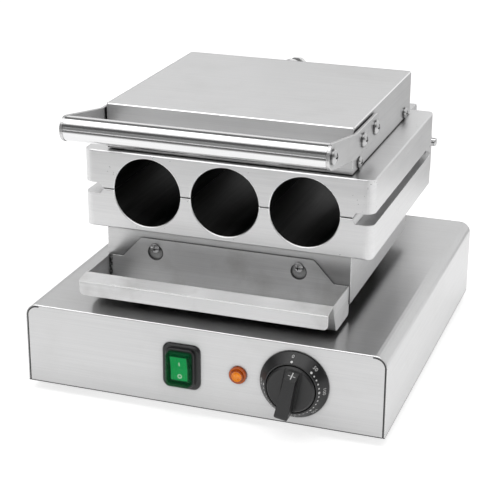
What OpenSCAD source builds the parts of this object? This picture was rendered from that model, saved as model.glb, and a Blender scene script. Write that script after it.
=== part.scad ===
// Countertop press with two hinged half moulds and three horizontal bores.
// X runs to the right, Y to the back and Z up, in millimetres.
// The origin lies on the table, under the middle of the machine.

/* [Base] */
// Width of the base casing
base_w = 310; // [300:1:340]
// Depth of the base casing
base_d = 322; // [314:1:350]
// Height of the base casing without its feet
base_h = 70; // [68:1:84]
// Sheet thickness of the base casing
casing_t = 1.5; // [1:0.1:2]
// Outside radius of the two long top folds
casing_r = 10; // [6:0.5:12]
// Width of the seam round the front and rear flaps
seam_w = 0.4; // [0.2:0.1:0.8]
// Thickness of the bottom plate
plate_t = 1.2; // [1:0.1:2]
// Width of the inward lips that carry the bottom plate
lip_w = 14; // [12:0.5:16]
// Height of the rubber feet
foot_h = 8; // [7:0.5:15]
// Largest diameter of a rubber foot
foot_d = 26; // [22:1:30]
// Distance from a foot's centre to the casing's outside
foot_inset = 34; // [32:1:45]

/* [Controls] */
// Height of the row of controls above the casing's lower edge
control_z = 35.5; // [34:0.5:37]
// Sideways place of the switch
switch_x = -15.6; // [-25:0.1:-10]
// Sideways place of the indicator lamp
lamp_x = 32.8; // [28:0.1:38]
// Sideways place of the thermostat
dial_x = 80.2; // [76:0.1:100]
// Width of the switch's frame
switch_w = 32.2; // [31:0.1:34]
// Height of the switch's frame
switch_h = 38.8; // [38:0.1:42]
// Diameter of the indicator lamp's rim
lamp_d = 14.5; // [14:0.5:18]
// Outside diameter of the dial ring
dial_d = 57; // [54:0.5:60]
// Height of the dial ring's inner edge above the panel
dial_h = 10; // [8:0.5:12]
// Diameter of the thermostat knob
knob_d = 40; // [36:0.5:42]
// Height of the knob's grip above the panel
knob_h = 25; // [20:0.5:28]

/* [Housing] */
// Width of the lower housing
housing_w = 213.4; // [205:0.2:220]
// Distance from the back of the housing to the back of the moulds
housing_rear_gap = 17.9; // [15:0.1:24]
// Height of the lower housing
housing_h = 41.9; // [40:0.1:50]
// Sheet thickness of housing and cover
sheet_t = 1.2; // [1:0.1:1.5]
// Gap between the base casing and the lower housing
housing_gap = 12.8; // [8:0.1:20]
// Distance from the front of the base to the front of the moulds
mould_set_back = 57.1; // [45:0.1:60]
// Distance from the front of the moulds to the front of the housing
housing_set_back = 5.3; // [4:0.1:12]

/* [Moulds] */
// Width of the half moulds
mould_w = 250; // [244:1:260]
// Depth of the half moulds
mould_d = 212; // [206:0.2:218]
// Height of the upper half mould
upper_mould_h = 33.2; // [32:0.1:38]
// Height of the lower half mould
lower_mould_h = 33.7; // [32:0.1:38]
// Radius of the moulds' upright corners
mould_r = 8; // [4:0.5:10]
// Chamfer along the moulds' outer edges
mould_chamfer = 0.9; // [0.4:0.1:2]
// Diameter of the bores
bore_d = 58.4; // [50:0.2:59]
// Distance between neighbouring bores
bore_pitch = 68; // [64:0.5:69]
// Height of the relief between the halves on each side
relief_h = 9.5; // [6:0.1:12]
// Width of the relief on each side
relief_w = 17.4; // [12:0.1:22]

/* [Lid] */
// Width of the upper cover
cover_w = 210; // [204:0.5:216]
// Distance from the back of the cover to the back of the moulds
cover_rear_gap = 13.8; // [10:0.1:20]
// Height of the upper cover
cover_h = 37.9; // [36:0.1:44]
// Distance from the front of the moulds to the front of the cover
cover_set_back = 6.5; // [4:0.1:10]
// Diameter of the handle tube
handle_d = 20; // [18:0.5:24]
// Distance from the cover's front to the middle of the handle tube
handle_reach = 70.4; // [60:0.2:80]
// Height of the handle tube's middle above the cover's lower edge
handle_rise = 35.8; // [30:0.2:42]
// Thickness of the handle arms
arm_t = 2.5; // [2:0.1:4]
// Width of the handle arms
arm_w = 20.6; // [18:0.2:24]
// Furthest turn of the lid, in degrees
lid_open = 95; // [85:1:100]

/* [Hinge] */
// Diameter of the hinge pins
pin_d = 8; // [6:0.5:10]
// Distance from the back of the moulds to the hinge axis
hinge_back = 15; // [13:0.1:17]
// Width of each lower hinge block
lower_block_w = 15.1; // [12:0.1:17]
// Width of each upper hinge block
upper_block_w = 10.8; // [9:0.1:13]

/* [Drip tray] */
// Distance from each side of the tray to the housing's side
tray_side = 0.9; // [0.2:0.1:4]
// Thickness of the drip tray's sheet
tray_t = 1; // [0.8:0.1:1.5]
// Height of the tray's rim above its bottom
tray_h = 25; // [22:0.1:28]
// Height of the tray's raised back above its rim
tray_back_rise = 18.7; // [15:0.1:19]
// Distance from the housing to the tray's front rim
tray_reach = 46.6; // [35:0.2:52]
// Depth of the rim's turned lip
lip_reach = 13.6; // [8:0.2:16]
// Drop of the rim's turned lip
lip_drop = 12; // [8:0.2:14]
// Gap between the tray's bottom and the base casing
tray_gap = 3.6; // [2:0.2:6]
// Lift that frees the tray from its screws
tray_lift = 4; // [3:0.2:4.6]
// Distance from each side of the tray to its keyhole
keyhole_in = 42.8; // [36:0.1:56]

/* [Conduit] */
// Outside diameter of the flexible conduit
conduit_d = 16; // [12:0.5:17]
// Sideways place of the conduit
conduit_x = -10; // [-20:1:20]
// Depth of the conduit's loop behind its glands
conduit_bow = 50; // [40:1:60]

/* [Hidden] */
$fn = 48;

// Colours
steel = [0.76, 0.76, 0.77];
bright_steel = [0.86, 0.86, 0.88];
cast_metal = [0.82, 0.82, 0.81];
black_plastic = [0.12, 0.12, 0.12];
dark_metal = [0.32, 0.32, 0.33];
wool = [0.82, 0.78, 0.66];

// Shared clearances and the overrun of cuts
cut = 1;
seat_gap = 0.3;
press_gap = 0.02;
running_gap = 0.05;
half_parting = 0.15;
cover_gap = 1;
thread_over = 1;

// Fasteners: shares of the thread's diameter
head_d_share = 2;
head_h_share = 0.62;
dome_share = 1.5;
recess_l_share = 1;
recess_w_share = 0.22;
recess_h_share = 0.32;
nut_d_share = 1.95;
nut_h_share = 0.8;
small_thread = 4;
cover_thread = 5;
large_thread = 6;

// Levels
casing_top = foot_h + base_h;
housing_z = casing_top + housing_gap;
housing_top = housing_z + housing_h;
parting_z = housing_top + lower_mould_h;
upper_top = parting_z + upper_mould_h;
cover_z = upper_top + cover_gap;
cover_top = cover_z + cover_h;

// Mains gland, whose reach sets the machine's depth with the knob's height
gland_d = 20;
gland_flange_d = 27;
gland_flange_h = 5;
gland_cap_h = 13;
gland_x = 105;
gland_bore_d = 9;
gland_reach = gland_flange_h + gland_cap_h;

// Places from front to back
front_y = knob_h - (knob_h + base_d + gland_reach) / 2;
rear_y = front_y + base_d;
mould_y = front_y + mould_set_back;
mould_back = mould_y + mould_d;
mould_mid = mould_y + mould_d / 2;
housing_y = mould_y + housing_set_back;
housing_back = mould_back - housing_rear_gap;
housing_d = housing_back - housing_y;
housing_mid = housing_y + housing_d / 2;
cover_y = mould_y + cover_set_back;
cover_back = mould_back - cover_rear_gap;
cover_d = cover_back - cover_y;
cover_mid = cover_y + cover_d / 2;
hinge_y = mould_back + hinge_back;
hinge_z = parting_z;
control_level = foot_h + control_z;

// Corner points of an arc from one angle to another
function arc(c, r, from, to, steps = 6) =
  [for (i = [0:steps]) c + r * [cos(from + (to - from) * i / steps), sin(from + (to - from) * i / steps)]];

// Rectangle about the origin with rounded corners
function rounded(w, h, r) = concat(
  arc([w / 2 - r, h / 2 - r], r, 0, 90), arc([r - w / 2, h / 2 - r], r, 90, 180),
  arc([r - w / 2, r - h / 2], r, 180, 270), arc([w / 2 - r, r - h / 2], r, 270, 360));

// Upright outline with two rounded top corners
function arch(w, low, high, r) = concat([[w / 2, low]],
  arc([w / 2 - r, high - r], r, 0, 90), arc([r - w / 2, high - r], r, 90, 180), [[-w / 2, low]]);

function unit(v) = v / norm(v);
function left_of(v) = [-v[1], v[0]];

// Corner of a folded sheet's second face, at one point of its first face
function fold_corner(p, i, t) = let (
  before = i == 0 ? p[1] - p[0] : p[i] - p[i - 1],
  after = i == len(p) - 1 ? p[i] - p[i - 1] : p[i + 1] - p[i],
  a = left_of(unit(before)), b = left_of(unit(after))) p[i] + t * (a + b) / (1 + a * b);

// Outline of a sheet of thickness t on the left of the path p
function folded(p, t) = concat(p, [for (i = [len(p) - 1:-1:0]) fold_corner(p, i, t)]);

// Block between two corners
module block(low, high) translate(low) cube(high - low);

// Outline in X and Z, from y backwards by t
module facing(y, t) translate([0, y + t, 0]) rotate([90, 0, 0]) linear_extrude(t) children();

// Outline in Y and Z, from x to the right by t
module sideways(x, t) translate([x, 0, 0]) rotate([90, 0, 90]) linear_extrude(t) children();

// Places a piece that is drawn along +Z
module to_front(x, y, z) translate([x, y, z]) rotate([90, 0, 0]) children();
module to_back(x, y, z) translate([x, y, z]) rotate([-90, 0, 0]) children();
module to_right(x, y, z) translate([x, y, z]) rotate([0, 90, 0]) children();
module to_left(x, y, z) translate([x, y, z]) rotate([0, -90, 0]) children();
module to_below(x, y, z) translate([x, y, z]) rotate([180, 0, 0]) children();

// Screw with a low domed head above z = 0, a cross recess and a plain shank below
module pan_screw(d, length) {
  head_r = d * head_d_share / 2;
  head_h = d * head_h_share;
  dome_r = head_r * dome_share;
  slot = [d * recess_l_share, d * recess_w_share, d * recess_h_share];
  difference() {
    intersection() {
      translate([0, 0, head_h - dome_r]) sphere(dome_r);
      cylinder(h = head_h, r = head_r);
    }
    for (turn = [0, 90])
      rotate(turn) translate([-slot[0] / 2, -slot[1] / 2, head_h - slot[2]]) cube([slot[0], slot[1], head_h]);
  }
  translate([0, 0, -length]) cylinder(h = length, r = d / 2);
}

// Six-sided nut standing on z = 0
module nut(d) difference() {
  cylinder(h = d * nut_h_share, d = d * nut_d_share, $fn = 6);
  translate([0, 0, -cut]) cylinder(h = d * nut_h_share + 2 * cut, d = d + 2 * press_gap);
}

// Bolt with a six-sided head above z = 0
module hex_bolt(d, length) {
  cylinder(h = d * nut_h_share, d = d * nut_d_share, $fn = 6);
  translate([0, 0, -length]) cylinder(h = length, r = d / 2);
}

// Base casing
top_cut_r = casing_r - casing_t;
vent_count = 6;
vent_w = 3;
vent_h = 26;
vent_pitch = 9;
vent_x = 40;
vent_rise = 22;
vent_z = foot_h + vent_rise;
panel_depth = casing_t + 2 * cut;
inner_w = base_w - 2 * casing_t;
switch_ledge = 3.5;
switch_cut = [switch_w - 2 * switch_ledge, switch_h - 2 * switch_ledge];
lamp_ledge = 2.5;
lamp_hole_d = lamp_d - 2 * lamp_ledge;
shaft_hole_d = 11;
dial_screw_pitch = 28;
sleeve_d = 18;
sleeve_t = 1.5;
spacer_d = 14;
spacer_inset = 22;
spacer_dx = housing_w / 2 - spacer_inset;
spacer_dy = housing_d / 2 - spacer_inset;
sleeve_back = 40;
sleeve_y = housing_mid + sleeve_back;
module vents(side, low, high) for (i = [0:vent_count - 1])
  let (x = side * vent_x + (i - (vent_count - 1) / 2) * vent_pitch)
    block([x - vent_w / 2, low[0], low[1]], [x + vent_w / 2, high[0], high[1]]);
module seam(y) difference() {
  facing(y - cut, casing_t / 2 + cut) polygon(arch(inner_w, foot_h, casing_top - casing_t, top_cut_r));
  facing(y - 2 * cut, casing_t + 3 * cut)
    polygon(arch(inner_w - 2 * seam_w, foot_h - cut, casing_top - casing_t - seam_w, top_cut_r - seam_w));
  block([casing_r - base_w / 2, y - 2 * cut, casing_top - 2 * casing_r],
        [base_w / 2 - casing_r, y + 2 * cut, casing_top + cut]);
}
module at_spacers() for (sx = [-1, 1], sy = [-1, 1])
  translate([sx * spacer_dx, housing_mid + sy * spacer_dy, 0]) children();
module base_casing() color(steel) {
  difference() {
    facing(front_y, base_d) polygon(arch(base_w, foot_h, casing_top, casing_r));
    facing(front_y + casing_t, base_d - 2 * casing_t)
      polygon(arch(inner_w, foot_h - cut, casing_top - casing_t, top_cut_r));
    seam(front_y);
    translate([0, rear_y, 0]) mirror([0, 1, 0]) seam(0);
    block([switch_x - switch_cut[0] / 2, front_y - cut, control_level - switch_cut[1] / 2],
          [switch_x + switch_cut[0] / 2, front_y + panel_depth - cut, control_level + switch_cut[1] / 2]);
    to_back(lamp_x, front_y - cut, control_level) cylinder(h = panel_depth, d = lamp_hole_d);
    to_back(dial_x, front_y - cut, control_level) cylinder(h = panel_depth, d = shaft_hole_d);
    for (side = [-1, 1]) {
      to_back(dial_x + side * dial_screw_pitch / 2, front_y - cut, control_level)
        cylinder(h = panel_depth, d = small_thread + 2 * running_gap);
      vents(side, [rear_y - casing_t - cut, vent_z], [rear_y + cut, vent_z + vent_h]);
    }
    to_front(gland_x, rear_y + cut, control_level) cylinder(h = panel_depth, d = gland_d);
    at_spacers() translate([0, 0, casing_top - casing_t - cut])
      cylinder(h = panel_depth, d = large_thread + 2 * running_gap);
    translate([0, sleeve_y, casing_top - casing_t - cut]) cylinder(h = panel_depth, d = sleeve_d - 2 * sleeve_t);
  }
  for (side = [-1, 1]) difference() {
    block([side * inner_w / 2 - (side > 0 ? lip_w : 0), front_y + casing_t, foot_h + plate_t],
          [side * inner_w / 2 + (side > 0 ? 0 : lip_w), rear_y - casing_t, foot_h + plate_t + casing_t]);
    at_lip_screws(side) cylinder(h = 2 * foot_h, d = small_thread + 2 * running_gap);
  }
}

// Bottom plate, its screws and the four feet
lip_screw_inset = 30;
lip_screw_dy = base_d / 2 - lip_screw_inset;
foot_recess = 4.6;
foot_recess_d = 11;
foot_top_share = 0.84;
module at_lip_screws(side) for (dy = [-lip_screw_dy, 0, lip_screw_dy])
  translate([side * (inner_w / 2 - lip_w / 2), front_y + base_d / 2 + dy, 0]) children();
module at_feet() for (sx = [-1, 1], end = [front_y + foot_inset, rear_y - foot_inset])
  translate([sx * (base_w / 2 - foot_inset), end, 0]) children();
module bottom_plate() color(steel) difference() {
  block([seat_gap - inner_w / 2, front_y + casing_t + seat_gap, foot_h],
        [inner_w / 2 - seat_gap, rear_y - casing_t - seat_gap, foot_h + plate_t]);
  for (side = [-1, 1]) {
    translate([0, 0, foot_h - cut]) at_lip_screws(side)
      cylinder(h = plate_t + 2 * cut, d = small_thread + 2 * running_gap);
    vents(side, [-vent_h / 2, foot_h - cut], [vent_h / 2, foot_h + plate_t + cut]);
  }
  translate([0, 0, foot_h - cut]) at_feet() cylinder(h = plate_t + 2 * cut, d = small_thread + 2 * running_gap);
}
module bottom_screws() color(bright_steel) for (side = [-1, 1])
  at_lip_screws(side) to_below(0, 0, foot_h) pan_screw(small_thread, plate_t + 2 * casing_t);
module rubber_feet() color(black_plastic) at_feet() difference() {
  cylinder(h = foot_h, d1 = foot_d * foot_top_share, d2 = foot_d);
  translate([0, 0, -cut]) cylinder(h = foot_recess + cut, d = foot_recess_d);
  translate([0, 0, -cut]) cylinder(h = foot_h + 2 * cut, d = small_thread + 2 * running_gap);
}
module foot_screws() color(bright_steel) at_feet() {
  to_below(0, 0, foot_recess) pan_screw(small_thread, foot_h - foot_recess + plate_t + small_thread);
  translate([0, 0, foot_h + plate_t]) nut(small_thread);
}

// Lower housing on its spacers
mould_screw_dx = housing_w / 2 - sheet_t - lip_w / 2;
mould_screw_inset = 40;
mould_screw_dy = housing_d / 2 - mould_screw_inset;
mould_screw_l = 12;
keyhole_drop = 15.2;
keyhole_z = housing_top - keyhole_drop;
module at_mould_screws() for (sx = [-1, 1], sy = [-1, 1])
  translate([sx * mould_screw_dx, housing_mid + sy * mould_screw_dy, 0]) children();
tray_w = housing_w - 2 * tray_side;
keyhole_x = tray_w / 2 - keyhole_in;
module at_tray_screws() for (sx = [-1, 1]) translate([sx * keyhole_x, 0, keyhole_z]) children();
conduit_low_z = housing_z + housing_h / 2;
module lower_housing() color(steel) {
  difference() {
    block([-housing_w / 2, housing_y, housing_z], [housing_w / 2, housing_back, housing_top]);
    block([sheet_t - housing_w / 2, housing_y + sheet_t, housing_z + sheet_t],
          [housing_w / 2 - sheet_t, housing_back - sheet_t, housing_top + cut]);
    at_spacers() translate([0, 0, housing_z - cut]) cylinder(h = sheet_t + 2 * cut, d = large_thread + 2 * running_gap);
    translate([0, sleeve_y, housing_z - cut]) cylinder(h = sheet_t + 2 * cut, d = sleeve_d - 2 * sleeve_t);
    at_tray_screws() to_back(0, housing_y - cut, 0)
      cylinder(h = sheet_t + 2 * cut, d = small_thread + 2 * running_gap);
    to_front(conduit_x, housing_back + cut, conduit_low_z) cylinder(h = sheet_t + 2 * cut, d = conduit_neck_d);
  }
  for (side = [-1, 1]) difference() {
    block([side * (housing_w / 2 - sheet_t) - (side > 0 ? lip_w : 0), housing_y + sheet_t, housing_top - sheet_t],
          [side * (housing_w / 2 - sheet_t) + (side > 0 ? 0 : lip_w), housing_back - sheet_t, housing_top]);
    at_mould_screws() translate([0, 0, housing_z]) cylinder(h = 2 * housing_h, d = large_thread + 2 * running_gap);
  }
}
module mould_screws() color(bright_steel) at_mould_screws()
  to_below(0, 0, housing_top - sheet_t) hex_bolt(large_thread, sheet_t + mould_screw_l);
module housing_spacers() color(steel) at_spacers() translate([0, 0, casing_top]) difference() {
  cylinder(h = housing_gap, d = spacer_d);
  translate([0, 0, -cut]) cylinder(h = housing_gap + 2 * cut, d = large_thread + 2 * running_gap);
}
module spacer_bolts() color(bright_steel) at_spacers() {
  translate([0, 0, housing_z + sheet_t])
    hex_bolt(large_thread, sheet_t + housing_gap + casing_t + large_thread);
  translate([0, 0, casing_top - casing_t - large_thread * nut_h_share]) nut(large_thread);
}
module wire_sleeve() color(dark_metal) translate([0, sleeve_y, casing_top]) difference() {
  cylinder(h = housing_gap, d = sleeve_d);
  translate([0, 0, -cut]) cylinder(h = housing_gap + 2 * cut, d = sleeve_d - 2 * sleeve_t);
}

// Half moulds, seen as blocks between two levels with the bores at the parting plane
relief_in = mould_w / 2 - relief_w;
relief_slope = 2.8;
mouth_chamfer = 0.8;
block_bolt_dz = 9;
block_bolt_l = 14;
module chamfered(w, low, high, c) polygon([
  [-w / 2 + c, low], [w / 2 - c, low], [w / 2, low + c], [w / 2, high - c],
  [w / 2 - c, high], [c - w / 2, high], [-w / 2, high - c], [-w / 2, low + c]]);
module mould_body(low, high) difference() {
  intersection() {
    translate([0, mould_mid, low]) linear_extrude(high - low) polygon(rounded(mould_w, mould_d, mould_r));
    facing(mould_y - cut, mould_d + 2 * cut) chamfered(mould_w, low, high, mould_chamfer);
    translate([0, mould_mid, 0])
      sideways(-mould_w / 2 - cut, mould_w + 2 * cut) chamfered(mould_d, low, high, mould_chamfer);
  }
  for (i = [-1:1]) {
    to_back(i * bore_pitch, mould_y - cut, parting_z) cylinder(h = mould_d + 2 * cut, d = bore_d, $fn = 96);
    to_back(i * bore_pitch, mould_y - cut, parting_z)
      cylinder(h = mouth_chamfer + cut, d1 = bore_d + 2 * (mouth_chamfer + cut), d2 = bore_d, $fn = 96);
    to_front(i * bore_pitch, mould_back + cut, parting_z)
      cylinder(h = mouth_chamfer + cut, d1 = bore_d + 2 * (mouth_chamfer + cut), d2 = bore_d, $fn = 96);
  }
  for (side = [0, 1]) mirror([side, 0, 0]) facing(mould_y - cut, mould_d + 2 * cut) polygon([
    [relief_in, parting_z], [relief_in + relief_slope, parting_z + relief_h / 2], [mould_w, parting_z + relief_h / 2],
    [mould_w, parting_z - relief_h / 2], [relief_in + relief_slope, parting_z - relief_h / 2]]);
}
module at_clamp_bolts() for (sx = [-1, 1], sy = [-1, 1])
  translate([sx * bore_pitch / 2, mould_mid + sy * clamp_bolt_dy, 0]) children();
module at_blocks(x) for (sx = [-1, 1]) translate([sx * x, 0, 0]) children();
module lower_mould() color(cast_metal) difference() {
  mould_body(housing_top, parting_z - half_parting);
  at_mould_screws() translate([0, 0, housing_top - cut])
    cylinder(h = mould_screw_l + 2 * cut, d = large_thread + 2 * press_gap);
  at_clamp_bolts() translate([0, 0, housing_top - cut])
    cylinder(h = clamp_bolt_in + 2 * cut, d = large_thread + 2 * press_gap);
  at_blocks(lower_block_x) for (dz = [0, 1]) to_front(0, mould_back + cut, lower_bolt_z + dz * block_bolt_dz)
    cylinder(h = block_bolt_l + 2 * cut, d = small_thread + 2 * press_gap);
}
module upper_mould() color(cast_metal) difference() {
  mould_body(parting_z + half_parting, upper_top);
  at_clamp_bolts() translate([0, 0, upper_top - clamp_bolt_in - cut])
    cylinder(h = clamp_bolt_in + 2 * cut, d = large_thread + 2 * press_gap);
  at_bracket_screws() translate([0, 0, upper_top - bracket_screw_l])
    cylinder(h = bracket_screw_l + cut, d = small_thread + 2 * press_gap);
  at_blocks(upper_block_x) for (dz = [0, 1]) to_front(0, mould_back + cut, upper_bolt_z + dz * block_bolt_dz)
    cylinder(h = block_bolt_l + 2 * cut, d = small_thread + 2 * press_gap);
}

// Heaters: a square element bent into three loops, a clamp plate and wool under or over it
heater_d = 8;
heater_pitch_share = 2 / 3;
heater_pitch = bore_pitch * heater_pitch_share;
heater_end = 56.6;
heater_run = mould_d - 2 * heater_end;
clamp_t = 3;
clamp_side = 8.7;
lower_clamp_w = housing_w - 2 * clamp_side;
upper_clamp_side = 7;
upper_clamp_w = cover_w - 2 * upper_clamp_side;
clamp_end = 31.6;
clamp_d = mould_d - 2 * clamp_end;
clamp_bolt_dy = 40;
clamp_bolt_in = 9;
clamp_drop = heater_d + seat_gap;
terminal_l = 24;
terminal_d = 4;
module heater() translate([0, mould_mid, 0]) {
  for (i = [-1.5:1.5]) translate([i * heater_pitch, 0, 0]) cube([heater_d, heater_run, heater_d], center = true);
  for (i = [-1, 1]) translate([i * heater_pitch, -heater_run / 2, 0]) rotate(180)
    rotate_extrude(angle = 180, $fn = 48) translate([heater_pitch / 2, 0]) square(heater_d, center = true);
  translate([0, heater_run / 2, 0])
    rotate_extrude(angle = 180, $fn = 48) translate([heater_pitch / 2, 0]) square(heater_d, center = true);
  for (i = [-1.5, 1.5])
    to_back(i * heater_pitch, heater_run / 2, 0) cylinder(h = terminal_l, d = terminal_d, $fn = 24);
}
module clamp_plate(low, width) difference() {
  block([-width / 2, mould_mid - clamp_d / 2, low], [width / 2, mould_mid + clamp_d / 2, low + clamp_t]);
  at_clamp_bolts() translate([0, 0, low - cut]) cylinder(h = clamp_t + 2 * cut, d = large_thread + 2 * running_gap);
}
lower_heater_z = housing_top - seat_gap / 2 - heater_d / 2;
upper_heater_z = upper_top + seat_gap / 2 + heater_d / 2;
lower_clamp_z = housing_top - clamp_drop - clamp_t;
upper_clamp_z = upper_top + clamp_drop;
clamp_bolt_l = clamp_t + clamp_drop + clamp_bolt_in;
bolt_head_h = large_thread * nut_h_share;
wool_w = housing_w - 2 * sheet_t - 2 * seat_gap;
wool_top = lower_clamp_z - bolt_head_h - seat_gap;
wool_mouth = 3;
nut_room = 12;
upper_wool_end = 20;
module lower_heater() color(dark_metal) translate([0, 0, lower_heater_z]) heater();
module upper_heater() color(dark_metal) translate([0, 0, upper_heater_z]) heater();
module lower_clamp_plate() color(steel) clamp_plate(lower_clamp_z, lower_clamp_w);
module upper_clamp_plate() color(steel) clamp_plate(upper_clamp_z, upper_clamp_w);
module lower_clamp_bolts() color(bright_steel) at_clamp_bolts()
  to_below(0, 0, lower_clamp_z) hex_bolt(large_thread, clamp_bolt_l);
module upper_clamp_bolts() color(bright_steel) at_clamp_bolts()
  translate([0, 0, upper_clamp_z + clamp_t]) hex_bolt(large_thread, clamp_bolt_l);
module lower_insulation() color(wool) difference() {
  block([-wool_w / 2, housing_y + sheet_t + nut_room, housing_z + sheet_t],
        [wool_w / 2, housing_back - sheet_t - nut_room, wool_top]);
  at_spacers() translate([0, 0, housing_z]) cylinder(h = housing_h, d = large_thread * nut_d_share + wool_mouth);
  translate([0, sleeve_y, housing_z]) cylinder(h = housing_h, d = sleeve_d + wool_mouth);
}
module upper_insulation() color(wool) difference() {
  block([-upper_wool_w / 2, cover_y + upper_wool_end, upper_clamp_z + clamp_t + seat_gap],
        [upper_wool_w / 2, cover_back - upper_wool_end, cover_top - sheet_t - seat_gap]);
  at_clamp_bolts() translate([0, 0, upper_clamp_z]) cylinder(h = bolt_head_h + clamp_t + wool_mouth,
    d = large_thread * nut_d_share + wool_mouth);
}

// Hinge: lower blocks hold the pins, upper blocks turn on them and stop on the lower mould
pin_z_r = pin_d;
pin_out = 5.8;
block_side_gap = 0.6;
block_inset = 5.9;
lower_block_out = mould_w / 2 - block_inset;
lower_block_x = lower_block_out - lower_block_w / 2;
upper_block_out = lower_block_out - lower_block_w - block_side_gap;
upper_block_x = upper_block_out - upper_block_w / 2;
lower_bolt_rise = 7;
upper_bolt_rise = 14;
lower_block_rise = 2.3;
lower_bolt_z = housing_top + lower_bolt_rise;
upper_bolt_z = parting_z + upper_bolt_rise;
lower_block_z = housing_top + lower_block_rise;
stop_reach = hinge_back - seat_gap;
stop_lead = 2;
block_corner = 3;
clip_t = 1;
clip_d_share = 1.5;
clip_d = pin_d * clip_d_share;
pin_in = upper_block_out - upper_block_w - clip_t - running_gap;
module lower_hinge_blocks() color(cast_metal) at_blocks(lower_block_x) difference() {
  sideways(-lower_block_w / 2, lower_block_w) polygon(concat(
    [[mould_back, lower_block_z], [hinge_y + pin_z_r - block_corner, lower_block_z],
     [hinge_y + pin_z_r, lower_block_z + block_corner]],
    arc([hinge_y, hinge_z], pin_z_r, 0, 180, 12), [[mould_back, hinge_z - half_parting]]));
  to_right(-lower_block_w / 2 - cut, hinge_y, hinge_z)
    cylinder(h = lower_block_w + 2 * cut, d = pin_d + 2 * press_gap);
  for (dz = [0, 1]) to_back(0, mould_back - cut, lower_bolt_z + dz * block_bolt_dz)
    cylinder(h = hinge_back + pin_z_r + 2 * cut, d = small_thread + 2 * running_gap);
}
// The stop face meets the lower mould's back when the lid is fully open
stop_tail = -(pin_z_r + stop_reach * cos(lid_open)) / sin(lid_open);
function turned(p) = [hinge_y, hinge_z] + [
  p[0] * cos(lid_open) - p[1] * sin(lid_open), p[0] * sin(lid_open) + p[1] * cos(lid_open)];
module upper_hinge_blocks() color(cast_metal) at_blocks(upper_block_x) difference() {
  sideways(-upper_block_w / 2, upper_block_w) polygon(concat(
    [[mould_back, upper_top], [mould_back, hinge_z + half_parting]],
    [[hinge_y - pin_z_r, hinge_z], turned([-stop_reach, stop_lead]), turned([-stop_reach, stop_tail])],
    [[hinge_y + pin_z_r, upper_top - block_corner], [hinge_y + pin_z_r - block_corner, upper_top]]));
  to_right(-upper_block_w / 2 - cut, hinge_y, hinge_z)
    cylinder(h = upper_block_w + 2 * cut, d = pin_d + 2 * running_gap);
  for (dz = [0, 1]) to_back(0, mould_back - cut, upper_bolt_z + dz * block_bolt_dz)
    cylinder(h = hinge_back + pin_z_r + 2 * cut, d = small_thread + 2 * running_gap);
}
module block_bolts(x, z) at_blocks(x) for (dz = [0, 1])
  to_back(0, hinge_y + pin_z_r, z + dz * block_bolt_dz)
    pan_screw(small_thread, hinge_back + pin_z_r + block_bolt_l);
module lower_block_bolts() color(bright_steel) block_bolts(lower_block_x, lower_bolt_z);
module upper_block_bolts() color(bright_steel) block_bolts(upper_block_x, upper_bolt_z);
module hinge_pins() color(bright_steel) for (side = [0, 1]) mirror([side, 0, 0])
  to_right(pin_in - 2 * clip_t, hinge_y, hinge_z) {
    length = lower_block_out + pin_out - pin_in + 2 * clip_t;
    translate([0, 0, clip_t / 2]) cylinder(h = length - clip_t, d = pin_d);
    cylinder(h = clip_t / 2, d1 = pin_d - clip_t, d2 = pin_d);
    translate([0, 0, length - clip_t / 2]) cylinder(h = clip_t / 2, d1 = pin_d, d2 = pin_d - clip_t);
  }
module pin_clips() color(dark_metal) for (side = [0, 1]) mirror([side, 0, 0])
  to_right(pin_in, hinge_y, hinge_z) difference() {
    cylinder(h = clip_t, d = clip_d);
    translate([0, 0, -cut]) cylinder(h = clip_t + 2 * cut, d = pin_d + 2 * press_gap);
    block([0, -pin_d / 4, -cut], [clip_d, pin_d / 4, clip_t + cut]);
  }

// Drip tray: bottom, sloped front and turned lip in one fold, with a back hung on two screws
tray_back = housing_y - seat_gap;
tray_front = tray_back - tray_reach;
tray_z = casing_top + tray_gap;
tray_rim = tray_z + tray_h;
tray_slope = 9.4;
tray_fold_r = 3;
tray_front_r = 4;
tray_lean = 200;
lip_tilt = 2;
shoulder_in = 12.8;
back_shoulder = tray_w / 2 - shoulder_in;
back_slope = 19;
back_top = back_shoulder - back_slope;
back_corner = 4;
hole_d = 12.6;
slot_d = small_thread + 2 * seat_gap;
hole_z = keyhole_z - tray_lift;
tray_path = concat(
  [[tray_back, tray_rim]],
  arc([tray_back - tray_fold_r, tray_z + tray_fold_r], tray_fold_r, 0, -90, 4),
  arc([tray_front + tray_slope + tray_front_r, tray_z + tray_front_r], tray_front_r, 270, tray_lean, 5),
  [[tray_front, tray_rim], [tray_front - lip_reach, tray_rim - lip_tilt]]);
module tray_end(x) sideways(x, tray_t) polygon(concat(
  [[tray_back, tray_rim], [tray_front, tray_rim]],
  arc([tray_front + tray_slope + tray_front_r, tray_z + tray_front_r], tray_front_r, tray_lean, 270, 5),
  arc([tray_back - tray_fold_r, tray_z + tray_fold_r], tray_fold_r, 270, 360, 4)));
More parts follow.
